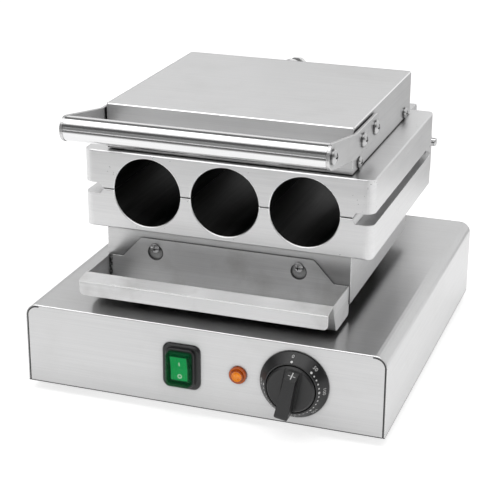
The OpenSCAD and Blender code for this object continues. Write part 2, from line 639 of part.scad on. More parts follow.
module drip_tray() color(steel) difference() {
  union() {
    sideways(-tray_w / 2, tray_w) polygon(folded([for (i = [len(tray_path) - 1:-1:0]) tray_path[i]], tray_t));
    tray_end(-tray_w / 2);
    tray_end(tray_w / 2 - tray_t);
    facing(tray_back - tray_t, tray_t) polygon(concat(
      [[-tray_w / 2, tray_z + tray_fold_r], [tray_w / 2, tray_z + tray_fold_r], [tray_w / 2, tray_rim]],
      [[back_shoulder, tray_rim]], arc([back_top, tray_rim + tray_back_rise - back_corner], back_corner, 45, 90, 3),
      arc([-back_top, tray_rim + tray_back_rise - back_corner], back_corner, 90, 135, 3),
      [[-back_shoulder, tray_rim], [-tray_w / 2, tray_rim]]));
    facing(tray_front - lip_reach, tray_t)
      translate([0, tray_rim - lip_tilt - lip_drop / 2]) polygon(concat(
        [[tray_w / 2, lip_drop / 2], [-tray_w / 2, lip_drop / 2]],
        arc([tray_front_r - tray_w / 2, tray_front_r - lip_drop / 2], tray_front_r, 180, 270, 4),
        arc([tray_w / 2 - tray_front_r, tray_front_r - lip_drop / 2], tray_front_r, 270, 360, 4)));
  }
  for (side = [-1, 1]) {
    to_front(side * keyhole_x, tray_back + cut, hole_z) cylinder(h = tray_t + 2 * cut, d = hole_d);
    to_front(side * keyhole_x, tray_back + cut, keyhole_z) cylinder(h = tray_t + 2 * cut, d = slot_d);
    block([side * keyhole_x - slot_d / 2, tray_back - tray_t - cut, hole_z],
          [side * keyhole_x + slot_d / 2, tray_back + cut, keyhole_z]);
  }
}
tray_stand_off = 2 * seat_gap + tray_t;
module tray_screws() color(bright_steel) at_tray_screws() {
  to_front(0, housing_y - tray_stand_off, 0)
    pan_screw(small_thread, tray_stand_off + sheet_t + small_thread);
  to_back(0, housing_y + sheet_t, 0) nut(small_thread);
}

// Rocker switch in a frame with a raised rim, under a clear boot
frame_r = 6;
frame_t = 2.5;
frame_edge = 1.2;
rim_w = 2;
rim_h = 5;
rim_edge = 0.7;
boot_side = 5.5;
boot_end = 4.7;
boot_w = switch_w - 2 * boot_side;
boot_h = switch_h - 2 * boot_end;
boot_out = 11;
boot_t = 1;
boot_r = 3;
rocker_w = 15.4;
rocker_h = 22.6;
rocker_rise = 4;
rocker_dip = 1;
rocker_tilt = 6;
rocker_back = 1.2;
rocker_hub = 2;
rocker_pin_d = 2;
ear_t = 1;
ear_out = 3.6;
switch_depth = 24;
terminal = [0.8, 9, 6.3];
terminal_pitch = 8;
terminal_row = 11.2;
rocker_pivot = 2;
module pillow(w, h, high, r, edge) hull() {
  linear_extrude(high - edge) polygon(rounded(w, h, r));
  linear_extrude(high) polygon(rounded(w - 2 * edge, h - 2 * edge, r - edge));
}
module switch_frame() color(black_plastic) to_front(switch_x, front_y, control_level) difference() {
  union() {
    pillow(switch_w, switch_h, frame_t, frame_r, frame_edge);
    pillow(boot_w + 2 * rim_w, boot_h + 2 * rim_w, rim_h, boot_r + rim_w, rim_edge);
  }
  translate([0, 0, -cut]) linear_extrude(rim_h + 2 * cut)
    polygon(rounded(boot_w + 2 * running_gap, boot_h + 2 * running_gap, boot_r));
}
module switch_boot() color([0.1, 0.6, 0.25, 0.6]) to_front(switch_x, front_y, control_level) difference() {
  pillow(boot_w, boot_h, boot_out, boot_r, boot_t);
  translate([0, 0, -cut]) linear_extrude(boot_out - boot_t + cut)
    polygon(rounded(boot_w - 2 * boot_t, boot_h - 2 * boot_t, boot_r - boot_t));
}
module rocker_pins(d, reach) translate([switch_x, front_y - rocker_pivot, control_level])
  rotate([0, 90, 0]) cylinder(h = rocker_w + 2 * reach, d = d, center = true, $fn = 24);
module switch_body() color(black_plastic) difference() {
  to_back(switch_x, front_y, control_level) {
    linear_extrude(switch_depth)
      polygon(rounded(switch_cut[0] - 2 * seat_gap, switch_cut[1] - 2 * seat_gap, boot_t));
    for (sx = [-1, 1], sz = [-1:1]) translate([sx * terminal_pitch - terminal[0] / 2,
      sz * terminal_row - terminal[2] / 2, switch_depth]) cube([terminal[0], terminal[2], terminal[1]]);
    for (sx = [-1, 1]) translate([sx * (rocker_w / 2 + seat_gap + ear_t / 2) - ear_t / 2, -rocker_hub, -ear_out])
      cube([ear_t, 2 * rocker_hub, ear_out]);
  }
  rocker_pins(rocker_pin_d + 2 * running_gap, 2 * ear_out);
}
module switch_rocker() color([0.1, 0.5, 0.2]) {
  translate([switch_x, front_y, control_level]) sideways(-rocker_w / 2, rocker_w)
    translate([-rocker_pivot, 0]) rotate(rocker_tilt) polygon([
      [rocker_back, -rocker_hub], [rocker_back, rocker_hub], [0, rocker_h / 2], [-rocker_rise, rocker_h / 2],
      [-rocker_rise + rocker_dip, 0], [-rocker_rise, -rocker_h / 2], [0, -rocker_h / 2]]);
  rocker_pins(rocker_pin_d, seat_gap + ear_t);
}

// Indicator lamp: ringed lens in front, body and nut behind the panel
lens_h = 4;
lens_rim_h = 2;
lens_face_d_share = 0.75;
lens_face_d = lamp_d * lens_face_d_share;
lens_step_d_shares = [0.8, 0.6, 0.4];
lens_dip_share = 0.85;
rim_dip_share = 0.9;
indicator_l = 26;
indicator_nut_d = 16;
indicator_nut_h = 4;
module indicator_lens() color([0.9, 0.4, 0.05]) to_front(lamp_x, front_y, control_level) rotate_extrude()
  polygon([[0, 0], [lamp_d / 2, 0], [lamp_d / 2, lens_rim_h * rim_dip_share],
    [lens_face_d / 2 + lens_rim_h / 4, lens_rim_h], [lens_face_d / 2, lens_rim_h * rim_dip_share],
    [lens_face_d / 2, lens_h * rim_dip_share], [lens_face_d * lens_step_d_shares[0] / 2, lens_h],
    [lens_face_d * lens_step_d_shares[1] / 2, lens_h * lens_dip_share],
    [lens_face_d * lens_step_d_shares[2] / 2, lens_h], [0, lens_h]]);
module indicator_body() color(black_plastic) to_back(lamp_x, front_y, control_level) {
  cylinder(h = indicator_l, d = lamp_hole_d - 2 * running_gap);
  translate([0, 0, casing_t]) cylinder(h = indicator_nut_h, d = indicator_nut_d, $fn = 6);
}

// Dial ring, thermostat and knob
ring_edge = 1.5;
ring_gap = 0.8;
ring_in_d = knob_d + 2 * ring_gap;
ring_wall = 2;
ring_back_t = 1.2;
skirt_h = 12;
skirt_base = 3;
grip_w = 11.4;
grip_head_w = 9.2;
grip_corner = 3;
grip_over = 1.2;
grip_slope = 4;
grip_head = 12.4;
grip_tip = 16.4;
grip_fold_r = 2.4;
knob_rest = 10;
pad_edge = 1.6;
pad_groove = 1;
shaft_d = 8;
shaft_l = 20;
hub_d = 14;
stat_w = 44;
stat_h = 44;
stat_l = 34;
module dial_ring() color(black_plastic) to_front(dial_x, front_y, control_level) difference() {
  rotate_extrude($fn = 96) polygon([[dial_screw_pitch / 2 + small_thread + cut, 0], [dial_d / 2, 0],
    [dial_d / 2, ring_edge], [ring_in_d / 2 + ring_wall / 2, dial_h], [ring_in_d / 2, dial_h],
    [ring_in_d / 2, ring_back_t], [dial_screw_pitch / 2 + small_thread + cut, ring_back_t]]);
}
grip_low = -knob_d / 2 - grip_over;
module knob_grip() intersection() {
  translate([-grip_w, 0, 0]) rotate([90, 0, 90]) linear_extrude(2 * grip_w) polygon(concat(
    [[grip_low, skirt_h - pad_edge], [grip_tip, skirt_h - pad_edge], [grip_tip, skirt_h]],
    [[grip_head, knob_h - grip_slope]], arc([grip_low + grip_fold_r, knob_h - grip_fold_r], grip_fold_r, 90, 180, 4)));
  linear_extrude(knob_h) polygon(concat(
    [[grip_head_w / 2, grip_tip], [-grip_head_w / 2, grip_tip]],
    arc([grip_corner - grip_w / 2, grip_low + grip_corner], grip_corner, 180, 270),
    arc([grip_w / 2 - grip_corner, grip_low + grip_corner], grip_corner, 270, 360)));
}
module thermostat_knob() color(black_plastic) to_front(dial_x, front_y, control_level) rotate(-knob_rest) {
  difference() {
    union() {
      translate([0, 0, skirt_base]) rotate_extrude($fn = 96) polygon([
        [0, 0], [knob_d / 2 - 2 * running_gap, 0], [knob_d / 2 - 2 * running_gap, skirt_h - skirt_base - pad_edge],
        [knob_d / 2 - pad_edge, skirt_h - skirt_base], [0, skirt_h - skirt_base]]);
      knob_grip();
    }
    for (side = [-1, 1]) translate([side * (grip_w / 2 + pad_groove), 0, skirt_h])
      rotate([90, 45, 0]) cylinder(h = knob_d, r = pad_groove, center = true, $fn = 4);
  }
  translate([0, 0, -casing_t - skirt_base]) cylinder(h = casing_t + 2 * skirt_base + cut, d = shaft_d);
}
module thermostat_body() color(steel) to_back(dial_x, front_y + casing_t, control_level) difference() {
  union() {
    translate([-stat_w / 2, -stat_h / 2, 0]) cube([stat_w, stat_h, ring_back_t]);
    cylinder(h = stat_l, d = stat_w - 2 * ring_edge);
  }
  translate([0, 0, -cut]) cylinder(h = 2 * skirt_base + cut, d = shaft_d + 2 * running_gap);
  for (side = [-1, 1]) translate([side * dial_screw_pitch / 2, 0, -cut])
    cylinder(h = 2 * small_thread, d = small_thread + 2 * press_gap);
}
module thermostat_screws() color(bright_steel) for (side = [-1, 1])
  to_front(dial_x + side * dial_screw_pitch / 2, front_y, control_level)
    intersection() {
      pan_screw(small_thread, casing_t + small_thread);
      translate([0, 0, -2 * small_thread]) cylinder(h = 2 * small_thread + skirt_base - 2 * seat_gap, d = 2 * small_thread);
    }

// Terminal block on the bottom plate
block_size = [66, 22, 18];
block_at = [60, 60];
pole_d = 5;
pole_count = 6;
module terminal_block() color([0.85, 0.85, 0.82]) translate([block_at[0], block_at[1], foot_h + plate_t]) difference() {
  translate([-block_size[0] / 2, -block_size[1] / 2, 0]) cube(block_size);
  for (i = [0:pole_count - 1])
    translate([(i - (pole_count - 1) / 2) * block_size[0] / pole_count, 0, block_size[2] / 2])
      cylinder(h = block_size[2], d = pole_d);
}

// Glands: a six-sided flange, a cap and a lock nut behind the sheet
gland_edge = 1;
module gland(neck_d, flange_d, flange_h, cap_d, cap_h, bore, wall) difference() {
  union() {
    cylinder(h = flange_h, d = flange_d, $fn = 6);
    translate([0, 0, flange_h]) cylinder(h = cap_h - gland_edge, d = cap_d);
    translate([0, 0, flange_h + cap_h - gland_edge]) cylinder(h = gland_edge, d1 = cap_d, d2 = cap_d - 2 * gland_edge);
    translate([0, 0, -wall - flange_h]) cylinder(h = wall + 2 * flange_h, d = neck_d - 2 * press_gap);
    translate([0, 0, -wall - flange_h]) cylinder(h = flange_h, d = flange_d - gland_edge, $fn = 6);
  }
  translate([0, 0, -wall - flange_h - cut]) cylinder(h = wall + 2 * flange_h + cap_h + 2 * cut, d = bore);
}
module mains_gland() color(black_plastic) to_back(gland_x, rear_y, control_level)
  gland(gland_d, gland_flange_d, gland_flange_h, gland_d + gland_edge, gland_cap_h, gland_bore_d, casing_t);

// Flexible conduit from the housing to the cover, its ribs and bore swept along one curve
conduit_wall = 1.5;
conduit_neck_d = conduit_d - 2 * conduit_wall;
conduit_cap_d = conduit_d + 2 * conduit_wall;
conduit_cap_h = 8;
flange_over = 2;
conduit_flange_d = conduit_d + 2 * flange_over;
conduit_flange_h = 3;
conduit_drop = 10.3;
conduit_high_z = cover_top - conduit_drop;
conduit_seat = 6;
conduit_straight = conduit_d;
rib_count = 56;
rib_depth = 0.8;
bore_rings = 24;
ring_sides = 8;
low_start = [housing_back + conduit_flange_h + conduit_cap_h - conduit_seat, conduit_low_z];
high_end = [cover_back + conduit_flange_h + conduit_cap_h - conduit_seat, conduit_high_z];
low_turn = low_start + [conduit_straight, 0];
high_turn = high_end + [conduit_straight, 0];
function curve(t) = pow(1 - t, 3) * low_turn + 3 * t * pow(1 - t, 2) * (low_turn + [conduit_bow, 0])
  + 3 * t * t * (1 - t) * (high_turn + [conduit_bow, 0]) + t * t * t * high_turn;
straight_share = 0.1;
function route(s) = s < straight_share ? low_start + s / straight_share * [conduit_straight, 0]
  : s > 1 - straight_share ? high_end + (1 - s) / straight_share * [conduit_straight, 0]
  : curve((s - straight_share) / (1 - 2 * straight_share));
step_share = 0.001;
function heading(s) = s <= straight_share ? [1, 0] : s >= 1 - straight_share ? [-1, 0]
  : unit(route(s + step_share) - route(s - step_share));
function ring(s, r) = let (c = route(s), n = left_of(heading(s))) [for (k = [0:ring_sides - 1])
  let (a = 360 * (k + 0.5) / ring_sides) [conduit_x + r * cos(a), c[0] + r * sin(a) * n[0], c[1] + r * sin(a) * n[1]]];
module conduit() color(bright_steel) {
  outer = [for (i = [0:2 * rib_count + 1])
    ring(i / (2 * rib_count + 1), conduit_d / 2 - (i % 2 == 0 ? rib_depth : 0))];
  inner = [for (i = [0:bore_rings]) ring(1 - i / bore_rings, conduit_neck_d / 2)];
  rings = concat(outer, inner);
  n = len(rings);
  polyhedron(
    points = [for (r = rings) for (p = r) p],
    faces = [for (i = [0:n - 1], k = [0:ring_sides - 1]) let (
      a = i * ring_sides + k, b = i * ring_sides + (k + 1) % ring_sides,
      j = (i + 1) % n, c = j * ring_sides + k, d = j * ring_sides + (k + 1) % ring_sides)
      each [[a, c, b], [b, c, d]]]);
}
module conduit_gland() gland(conduit_neck_d, conduit_flange_d, conduit_flange_h, conduit_cap_d, conduit_cap_h,
  conduit_neck_d - 2 * conduit_wall, sheet_t);
module gland_seat() translate([0, 0, conduit_flange_h + conduit_cap_h - conduit_seat])
  cylinder(h = conduit_cap_h, d = conduit_d + 2 * running_gap);
module housing_gland() color(dark_metal) to_back(conduit_x, housing_back, conduit_low_z) difference() {
  conduit_gland();
  gland_seat();
}
module cover_gland() color(dark_metal) to_back(conduit_x, cover_back, conduit_high_z) difference() {
  conduit_gland();
  gland_seat();
}

// Upper cover on two angle brackets
bracket_in = sheet_t + seat_gap;
bracket_t = 2;
bracket_h = 12;
bracket_end = 12;
bracket_d = cover_d - 2 * bracket_end;
bracket_screw_l = 8;
bracket_screw_inset = 40;
bracket_screw_dy = bracket_d / 2 - bracket_screw_inset;
cover_screw_rise = 5;
cover_screw_z = cover_z + cover_screw_rise;
cover_screw_front = 18;
cover_screw_rear = 21;
corner_relief = 1.2;
arm_gap = 1;
upper_wool_w = cover_w - 2 * bracket_in - 2 * lip_w;
handle_y = cover_y - handle_reach;
handle_z = cover_z + handle_rise;
arm_x = cover_w / 2 + arm_gap;
arm_rise = 24.4;
arm_low_z = cover_z + arm_rise;
arm_bend_out = 5;
arm_bend_y = cover_y - arm_bend_out;
arm_screw_in = [16, 53.4];
arm_end_over = 10.3;
arm_end = cover_y + arm_screw_in[1] + arm_end_over;
arm_end_r = 5;
module at_bracket_screws() for (sx = [-1, 1], sy = [-1, 1])
  translate([sx * (cover_w / 2 - bracket_in - lip_w / 2), cover_mid + sy * bracket_screw_dy, 0]) children();
module at_cover_screws(side) for (y = [cover_y + cover_screw_front, cover_back - cover_screw_rear])
  translate([side * cover_w / 2, y, cover_screw_z]) children();
module at_arm_screws(side, x) for (y = arm_screw_in) translate([side * x, cover_y + y, arm_low_z]) children();
module outward(side) rotate([0, side * 90, 0]) children();
module upper_cover() color(steel) difference() {
  block([-cover_w / 2, cover_y, cover_z], [cover_w / 2, cover_back, cover_top]);
  block([sheet_t - cover_w / 2, cover_y + sheet_t, cover_z - cut],
        [cover_w / 2 - sheet_t, cover_back - sheet_t, cover_top - sheet_t]);
  for (side = [-1, 1]) {
    for (corner = [cover_y, cover_back])
      translate([side * cover_w / 2, corner, cover_top]) sphere(corner_relief, $fn = 24);
    at_cover_screws(side) outward(side) translate([0, 0, -sheet_t - cut])
      cylinder(h = sheet_t + 2 * cut, d = cover_thread + 2 * running_gap);
    at_arm_screws(side, cover_w / 2) outward(side) translate([0, 0, -sheet_t - cut])
      cylinder(h = sheet_t + 2 * cut, d = large_thread + 2 * running_gap);
  }
  to_front(conduit_x, cover_back + cut, conduit_high_z) cylinder(h = sheet_t + 2 * cut, d = conduit_neck_d);
}
module cover_brackets() color(steel) for (side = [0, 1]) mirror([side, 0, 0]) difference() {
  facing(cover_mid - bracket_d / 2, bracket_d) translate([cover_w / 2 - bracket_in, upper_top]) polygon([
    [0, 0], [0, bracket_h], [-bracket_t, bracket_h], [-bracket_t, bracket_t], [-lip_w, bracket_t], [-lip_w, 0]]);
  at_bracket_screws() translate([0, 0, upper_top - cut])
    cylinder(h = bracket_t + 2 * cut, d = small_thread + 2 * running_gap);
  at_cover_screws(1) outward(1) translate([0, 0, -bracket_in - bracket_t - cut])
    cylinder(h = bracket_in + bracket_t + cut, d = cover_thread + 2 * press_gap);
}
module bracket_screws() color(bright_steel) at_bracket_screws() translate([0, 0, upper_top + bracket_t])
  pan_screw(small_thread, bracket_t + bracket_screw_l);
module cover_screws() color(bright_steel) for (side = [-1, 1])
  at_cover_screws(side) outward(side) pan_screw(cover_thread, bracket_in + bracket_t + thread_over);

// Handle: a tube between two cranked arms, bolted through spacers to the cover's sides
tube_wall = 1.2;
plug_l = 12;
crank = atan2(arm_low_z - handle_z, arm_bend_y - handle_y);
arm_half = arm_w / 2;
function crank_corner(side) = [arm_bend_y, arm_low_z]
  + side * arm_half / cos(crank / 2) * [-sin(crank / 2), cos(crank / 2)];
module handle_arms() color(bright_steel) for (side = [0, 1]) mirror([side, 0, 0]) difference() {
  sideways(arm_x, arm_t) polygon(concat(
    arc([handle_y, handle_z], arm_half, 90 + crank, 270 + crank, 16), [crank_corner(-1)],
    arc([arm_end - arm_end_r, arm_low_z - arm_half + arm_end_r], arm_end_r, 270, 360),
    arc([arm_end - arm_end_r, arm_low_z + arm_half - arm_end_r], arm_end_r, 0, 90), [crank_corner(1)]));
  at_arm_screws(1, arm_x - cut) outward(1) cylinder(h = arm_t + 2 * cut, d = large_thread + 2 * running_gap);
  to_right(arm_x - cut, handle_y, handle_z) cylinder(h = arm_t + 2 * cut, d = large_thread + 2 * running_gap);
}
module arm_spacers() color(dark_metal) for (side = [-1, 1])
  at_arm_screws(side, cover_w / 2) outward(side) difference() {
    cylinder(h = arm_gap, d = 2 * large_thread);
    translate([0, 0, -cut]) cylinder(h = arm_gap + 2 * cut, d = large_thread + 2 * running_gap);
  }
module arm_screws() color(bright_steel) for (side = [-1, 1]) {
  at_arm_screws(side, arm_x + arm_t) outward(side)
    pan_screw(large_thread, arm_t + arm_gap + sheet_t + large_thread);
  at_arm_screws(side, cover_w / 2 - sheet_t) outward(-side) nut(large_thread);
}
module handle_tube() color(bright_steel) to_right(-arm_x, handle_y, handle_z) difference() {
  cylinder(h = 2 * arm_x, d = handle_d, $fn = 64);
  translate([0, 0, -cut]) cylinder(h = 2 * (arm_x + cut), d = handle_d - 2 * tube_wall, $fn = 64);
}
module handle_plugs() color(dark_metal) for (side = [-1, 1])
  translate([side * arm_x, handle_y, handle_z]) outward(-side) difference() {
    cylinder(h = plug_l, d = handle_d - 2 * tube_wall - 2 * press_gap);
    translate([0, 0, -cut]) cylinder(h = plug_l + 2 * cut, d = large_thread + 2 * press_gap);
  }
module handle_screws() color(bright_steel) for (side = [-1, 1])
  translate([side * (arm_x + arm_t), handle_y, handle_z]) outward(side)
    pan_screw(large_thread, arm_t + plug_l - thread_over);

base_casing();
bottom_plate();
bottom_screws();
rubber_feet();
foot_screws();
lower_housing();
housing_spacers();
spacer_bolts();
wire_sleeve();
lower_mould();
mould_screws();
lower_heater();
lower_clamp_plate();
lower_clamp_bolts();
lower_insulation();
lower_hinge_blocks();
lower_block_bolts();
hinge_pins();
pin_clips();
tray_screws();
drip_tray();
switch_frame();
switch_boot();
switch_body();
switch_rocker();
indicator_lens();
indicator_body();
dial_ring();
thermostat_body();
thermostat_screws();
thermostat_knob();
terminal_block();
mains_gland();
housing_gland();
conduit();
cover_gland();
upper_mould();
upper_hinge_blocks();
upper_block_bolts();
upper_heater();
upper_clamp_plate();
upper_clamp_bolts();
upper_insulation();
cover_brackets();
bracket_screws();
upper_cover();
cover_screws();
handle_arms();
arm_spacers();
arm_screws();
handle_tube();
handle_plugs();
handle_screws();
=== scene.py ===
# %% [markdown]
# # A bun press, drawn the way it stands in its photograph
# The construction model gives the solid pieces. This script gives them finishes, adds the
# printed marks, puts a copy of the conduit in the place of the original, and sets the floor,
# the lamp, the cards and the camera. Lengths are in metres, with X to the right, Y to the back
# and Z up.

# %% Load the construction model
from math import cos, pi, radians, sin
import bpy
from mathutils import Matrix, Vector
from mathutils.bvhtree import BVHTree


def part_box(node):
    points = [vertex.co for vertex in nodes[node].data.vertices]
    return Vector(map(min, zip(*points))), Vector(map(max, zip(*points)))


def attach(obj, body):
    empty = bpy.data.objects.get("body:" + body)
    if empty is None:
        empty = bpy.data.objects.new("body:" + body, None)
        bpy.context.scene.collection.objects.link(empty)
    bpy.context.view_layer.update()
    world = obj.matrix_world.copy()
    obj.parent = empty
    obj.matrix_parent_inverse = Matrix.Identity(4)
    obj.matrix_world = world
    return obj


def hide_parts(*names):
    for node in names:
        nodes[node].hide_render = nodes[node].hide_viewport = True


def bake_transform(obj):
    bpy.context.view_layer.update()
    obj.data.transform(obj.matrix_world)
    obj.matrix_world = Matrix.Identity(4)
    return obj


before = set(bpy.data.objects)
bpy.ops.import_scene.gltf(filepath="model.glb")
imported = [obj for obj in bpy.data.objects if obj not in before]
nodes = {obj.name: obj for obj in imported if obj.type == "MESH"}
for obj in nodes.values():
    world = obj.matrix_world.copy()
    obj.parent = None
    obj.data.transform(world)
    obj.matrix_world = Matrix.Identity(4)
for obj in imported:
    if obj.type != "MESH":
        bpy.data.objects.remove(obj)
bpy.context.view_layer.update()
print("pieces from the construction model:", len(nodes))

# %% [markdown]
# ## Tools for the finishes
# A finish is a small network of nodes. `put` adds one node, and `settle` links or sets each of
# the inputs that it names, so that a network reads from top to bottom like a recipe. Effects
# that several finishes share are node groups: they give values, masks or normals, never a
# whole shader.

# %% Nodes, groups and finishes
FLOAT, VECTOR = "NodeSocketFloat", "NodeSocketVector"


def settle(tree, node, inputs):
    for key, value in inputs.items():
        if isinstance(value, bpy.types.NodeSocket):
            tree.links.new(value, node.inputs[key])
        else:
            node.inputs[key].default_value = value


def put(tree, kind, inputs=None, **settings):
    node = tree.nodes.new(kind)
    for key, value in settings.items():
        setattr(node, key, value)
    settle(tree, node, inputs or {})
    return node


def group(name, inputs, outputs):
    """A group's tree, what it is given, and the node that takes what it gives."""
    tree = bpy.data.node_groups.new(name, "ShaderNodeTree")
    for key, kind, value in inputs:
        socket = tree.interface.new_socket(key, in_out="INPUT", socket_type=kind)
        if value is not None:
            socket.default_value = value
    for key, kind in outputs:
        tree.interface.new_socket(key, in_out="OUTPUT", socket_type=kind)
    return tree, put(tree, "NodeGroupInput").outputs, put(tree, "NodeGroupOutput")


def use(tree, made, inputs=None):
    return put(tree, "ShaderNodeGroup", inputs, node_tree=made).outputs


def finish(name):
    made = bpy.data.materials.new(name)
    made.use_nodes = True
    return made, made.node_tree, made.node_tree.nodes["Principled BSDF"]


def paint(made, *names):
    for name in names:
        nodes[name].data.materials.clear()
        nodes[name].data.materials.append(made)
    print(made.name, "on", len(names), "pieces")


# %% [markdown]
# ### Values, masks and colours
# A mask is a value from 0 to 1 that says where something is. Masks come from comparing values,
# they are joined by multiplying them, and they choose between two colours or two numbers.

# %% Values, masks and colours
def maths(tree, operation, a, b=0.0, c=0.0):
    return put(tree, "ShaderNodeMath", {0: a, 1: b, 2: c}, operation=operation).outputs[0]


def over(tree, value, limit):
    return maths(tree, "GREATER_THAN", value, limit)


def under(tree, value, limit):
    return maths(tree, "LESS_THAN", value, limit)


def both(tree, a, b):
    return maths(tree, "MULTIPLY", a, b)


def within(tree, value, low, high):
    return both(tree, over(tree, value, low), under(tree, value, high))


def between(tree, value, low, high, to_low=0.0, to_high=1.0):
    """Carries one range over to another, and stops at its ends."""
    inputs = {0: value, 1: low, 2: high, 3: to_low, 4: to_high}
    return put(tree, "ShaderNodeMapRange", inputs).outputs[0]


def spread(tree, mask, low, high):
    return between(tree, mask, 0.0, 1.0, low, high)


def two_colours(tree, factor, a, b):
    """The first colour where the factor is 0, the second where it is 1. Each may be a socket."""
    a, b = ((*colour, 1.0) if isinstance(colour, tuple) else colour for colour in (a, b))
    return put(tree, "ShaderNodeMix", {0: factor, 6: a, 7: b}, data_type="RGBA").outputs[2]


# %% [markdown]
# ### Places and patterns
# The pieces lie where they were built, so object coordinates are places on the machine. A
# noise that reads them needs no unwrapping, and a mask can be written with the sizes of the
# real thing.

# %% Places and patterns
def place_of(tree):
    return put(tree, "ShaderNodeTexCoord").outputs["Object"]


def parts_of(tree, vector):
    return put(tree, "ShaderNodeSeparateXYZ", {0: vector}).outputs


def vector_of(tree, x=0.0, y=0.0, z=0.0):
    return put(tree, "ShaderNodeCombineXYZ", {0: x, 1: y, 2: z}).outputs[0]


def vector_maths(tree, operation, a, b=(0.0, 0.0, 0.0)):
    return put(tree, "ShaderNodeVectorMath", {0: a, 1: b}, operation=operation).outputs


def far_out(tree, a, b):
    """How far a point lies from an axis, out of its distances in two directions."""
    return vector_maths(tree, "LENGTH", vector_of(tree, a, b))["Value"]


def off_middle(tree, value, middle):
    return maths(tree, "ABSOLUTE", maths(tree, "SUBTRACT", value, middle))


def stretched(tree, place, scale):
    return put(tree, "ShaderNodeMapping", {"Vector": place, "Scale": scale}).outputs[0]


def noise(tree, place, scale=1.0, detail=2.0, roughness=0.5):
    inputs = {"Vector": place, "Scale": scale, "Detail": detail, "Roughness": roughness}
    return put(tree, "ShaderNodeTexNoise", inputs).outputs[0]


def bumped(tree, height, strength, depth, normal):
    inputs = {"Height": height, "Strength": strength, "Distance": depth, "Normal": normal}
    return put(tree, "ShaderNodeBump", inputs).outputs[0]


# %% [markdown]
# ## Brushed grain
# Sheet steel is brushed in one direction, so its scratches are long and thin. Noise that is
# stretched a lot along X draws them on the fronts and tops. A face that looks along X would
# show those scratches end on, so it takes noise that is stretched along Y instead.

# %% The grain group
GRAIN_LONG, GRAIN_FINE = 7.0, 750.0     # noise cells per metre along and across the scratches
GRAIN_DETAIL, GRAIN_ROUGH, GRAIN_DEEP = 4.0, 0.8, 0.0002
FACE_TURN = 0.7                         # a face turned further than this towards X is a side

grain, given, gives = group("Brushed grain", [("Depth", FLOAT, None), ("Normal", VECTOR, None)],
                            [("Value", FLOAT), ("Side", FLOAT), ("Normal", VECTOR)])
place = put(grain, "ShaderNodeTexCoord").outputs
along_x, along_y = (
    noise(grain, stretched(grain, place["Object"], scale), 1.0, GRAIN_DETAIL, GRAIN_ROUGH)
    for scale in ((GRAIN_LONG, GRAIN_FINE, GRAIN_FINE), (GRAIN_FINE, GRAIN_LONG, GRAIN_FINE)))
side = over(grain, maths(grain, "ABSOLUTE", parts_of(grain, place["Normal"])[0]), FACE_TURN)
value = put(grain, "ShaderNodeMix", {0: side, 2: along_x, 3: along_y}).outputs[0]
settle(grain, gives, {
    "Value": value, "Side": side,
    "Normal": bumped(grain, value, given["Depth"], GRAIN_DEEP, given["Normal"])})
print("group:", grain.name)

# %% [markdown]
# ## Smudges and soft edges
# Handled metal carries faint clouds of grease and cleaning marks. They change how sharply it
# mirrors more than its colour. A folded or milled edge is never perfectly sharp either: the
# edge group rounds the shading there, and so lets the edge catch a thin line of light. It
# does so without touching the mesh, and it also gives a mask of the rounded edge, where the
# finishes paint a highlight into the colour.

# %% The smudge group and the edge group
SMUDGE_CELLS, SMUDGE_DETAIL, SMUDGE_ROUGH = 11.0, 5.0, 0.55
SMUDGE_LOW, SMUDGE_HIGH = 0.2, 0.8      # the part of the noise's range that is used
EDGE_SAMPLES = 4
EDGE_FLAT, EDGE_HIGHLIT = 0.97, 0.85       # how far the rounded normal agrees with the flat one

smudge, given, gives = group("Smudges", [("Size", FLOAT, SMUDGE_CELLS)], [("Value", FLOAT)])
cloud = noise(smudge, place_of(smudge), given["Size"], SMUDGE_DETAIL, SMUDGE_ROUGH)
settle(smudge, gives, {"Value": between(smudge, cloud, SMUDGE_LOW, SMUDGE_HIGH)})

edge, given, gives = group("Soft edge", [("Radius", FLOAT, None)],
                           [("Normal", VECTOR), ("Highlight", FLOAT)])
rounding = put(edge, "ShaderNodeBevel", {"Radius": given["Radius"]}, samples=EDGE_SAMPLES)
flat = put(edge, "ShaderNodeNewGeometry").outputs["True Normal"]
same = vector_maths(edge, "DOT_PRODUCT", rounding.outputs[0], flat)["Value"]
settle(edge, gives, {"Normal": rounding.outputs[0],
                     "Highlight": between(edge, same, EDGE_FLAT, EDGE_HIGHLIT)})
print("groups:", smudge.name, "and", edge.name)


def smudged(tree, cells=SMUDGE_CELLS):
    return use(tree, smudge, {"Size": cells})["Value"]


def soft_edged(tree, radius):
    return use(tree, edge, {"Radius": radius})["Normal"]


# %% [markdown]
# ## Pebble
# Moulded plastic, plating and felt have a fine, even relief, each with its own size and depth.
# One noise does for all of them.

# %% The pebble group
PEBBLE_DEEP = 0.0001

pebble, given, gives = group(
    "Pebble", [("Cells", FLOAT, None), ("Depth", FLOAT, None), ("Normal", VECTOR, None)],
    [("Value", FLOAT), ("Normal", VECTOR)])
grit = noise(pebble, place_of(pebble), given["Cells"])
settle(pebble, gives, {
    "Value": grit, "Normal": bumped(pebble, grit, given["Depth"], PEBBLE_DEEP, given["Normal"])})
print("group:", pebble.name)

# %% [markdown]
# ## Crevices
# Shadow gathers where two surfaces nearly meet: round a screw head, in a seam, in a fold.
# Ambient occlusion measures how closed in a point is. Here it is a mask, so that each finish
# can say how dark it paints the shade in its own crevices.

# %% The crevice group
CREVICE_REACH, CREVICE_WEIGHT, CREVICE_SAMPLES = 0.004, 0.8, 6
CREVICE_SHUT, CREVICE_OPEN = 0.2, 0.92  # how open a wholly shut in and a free point measure

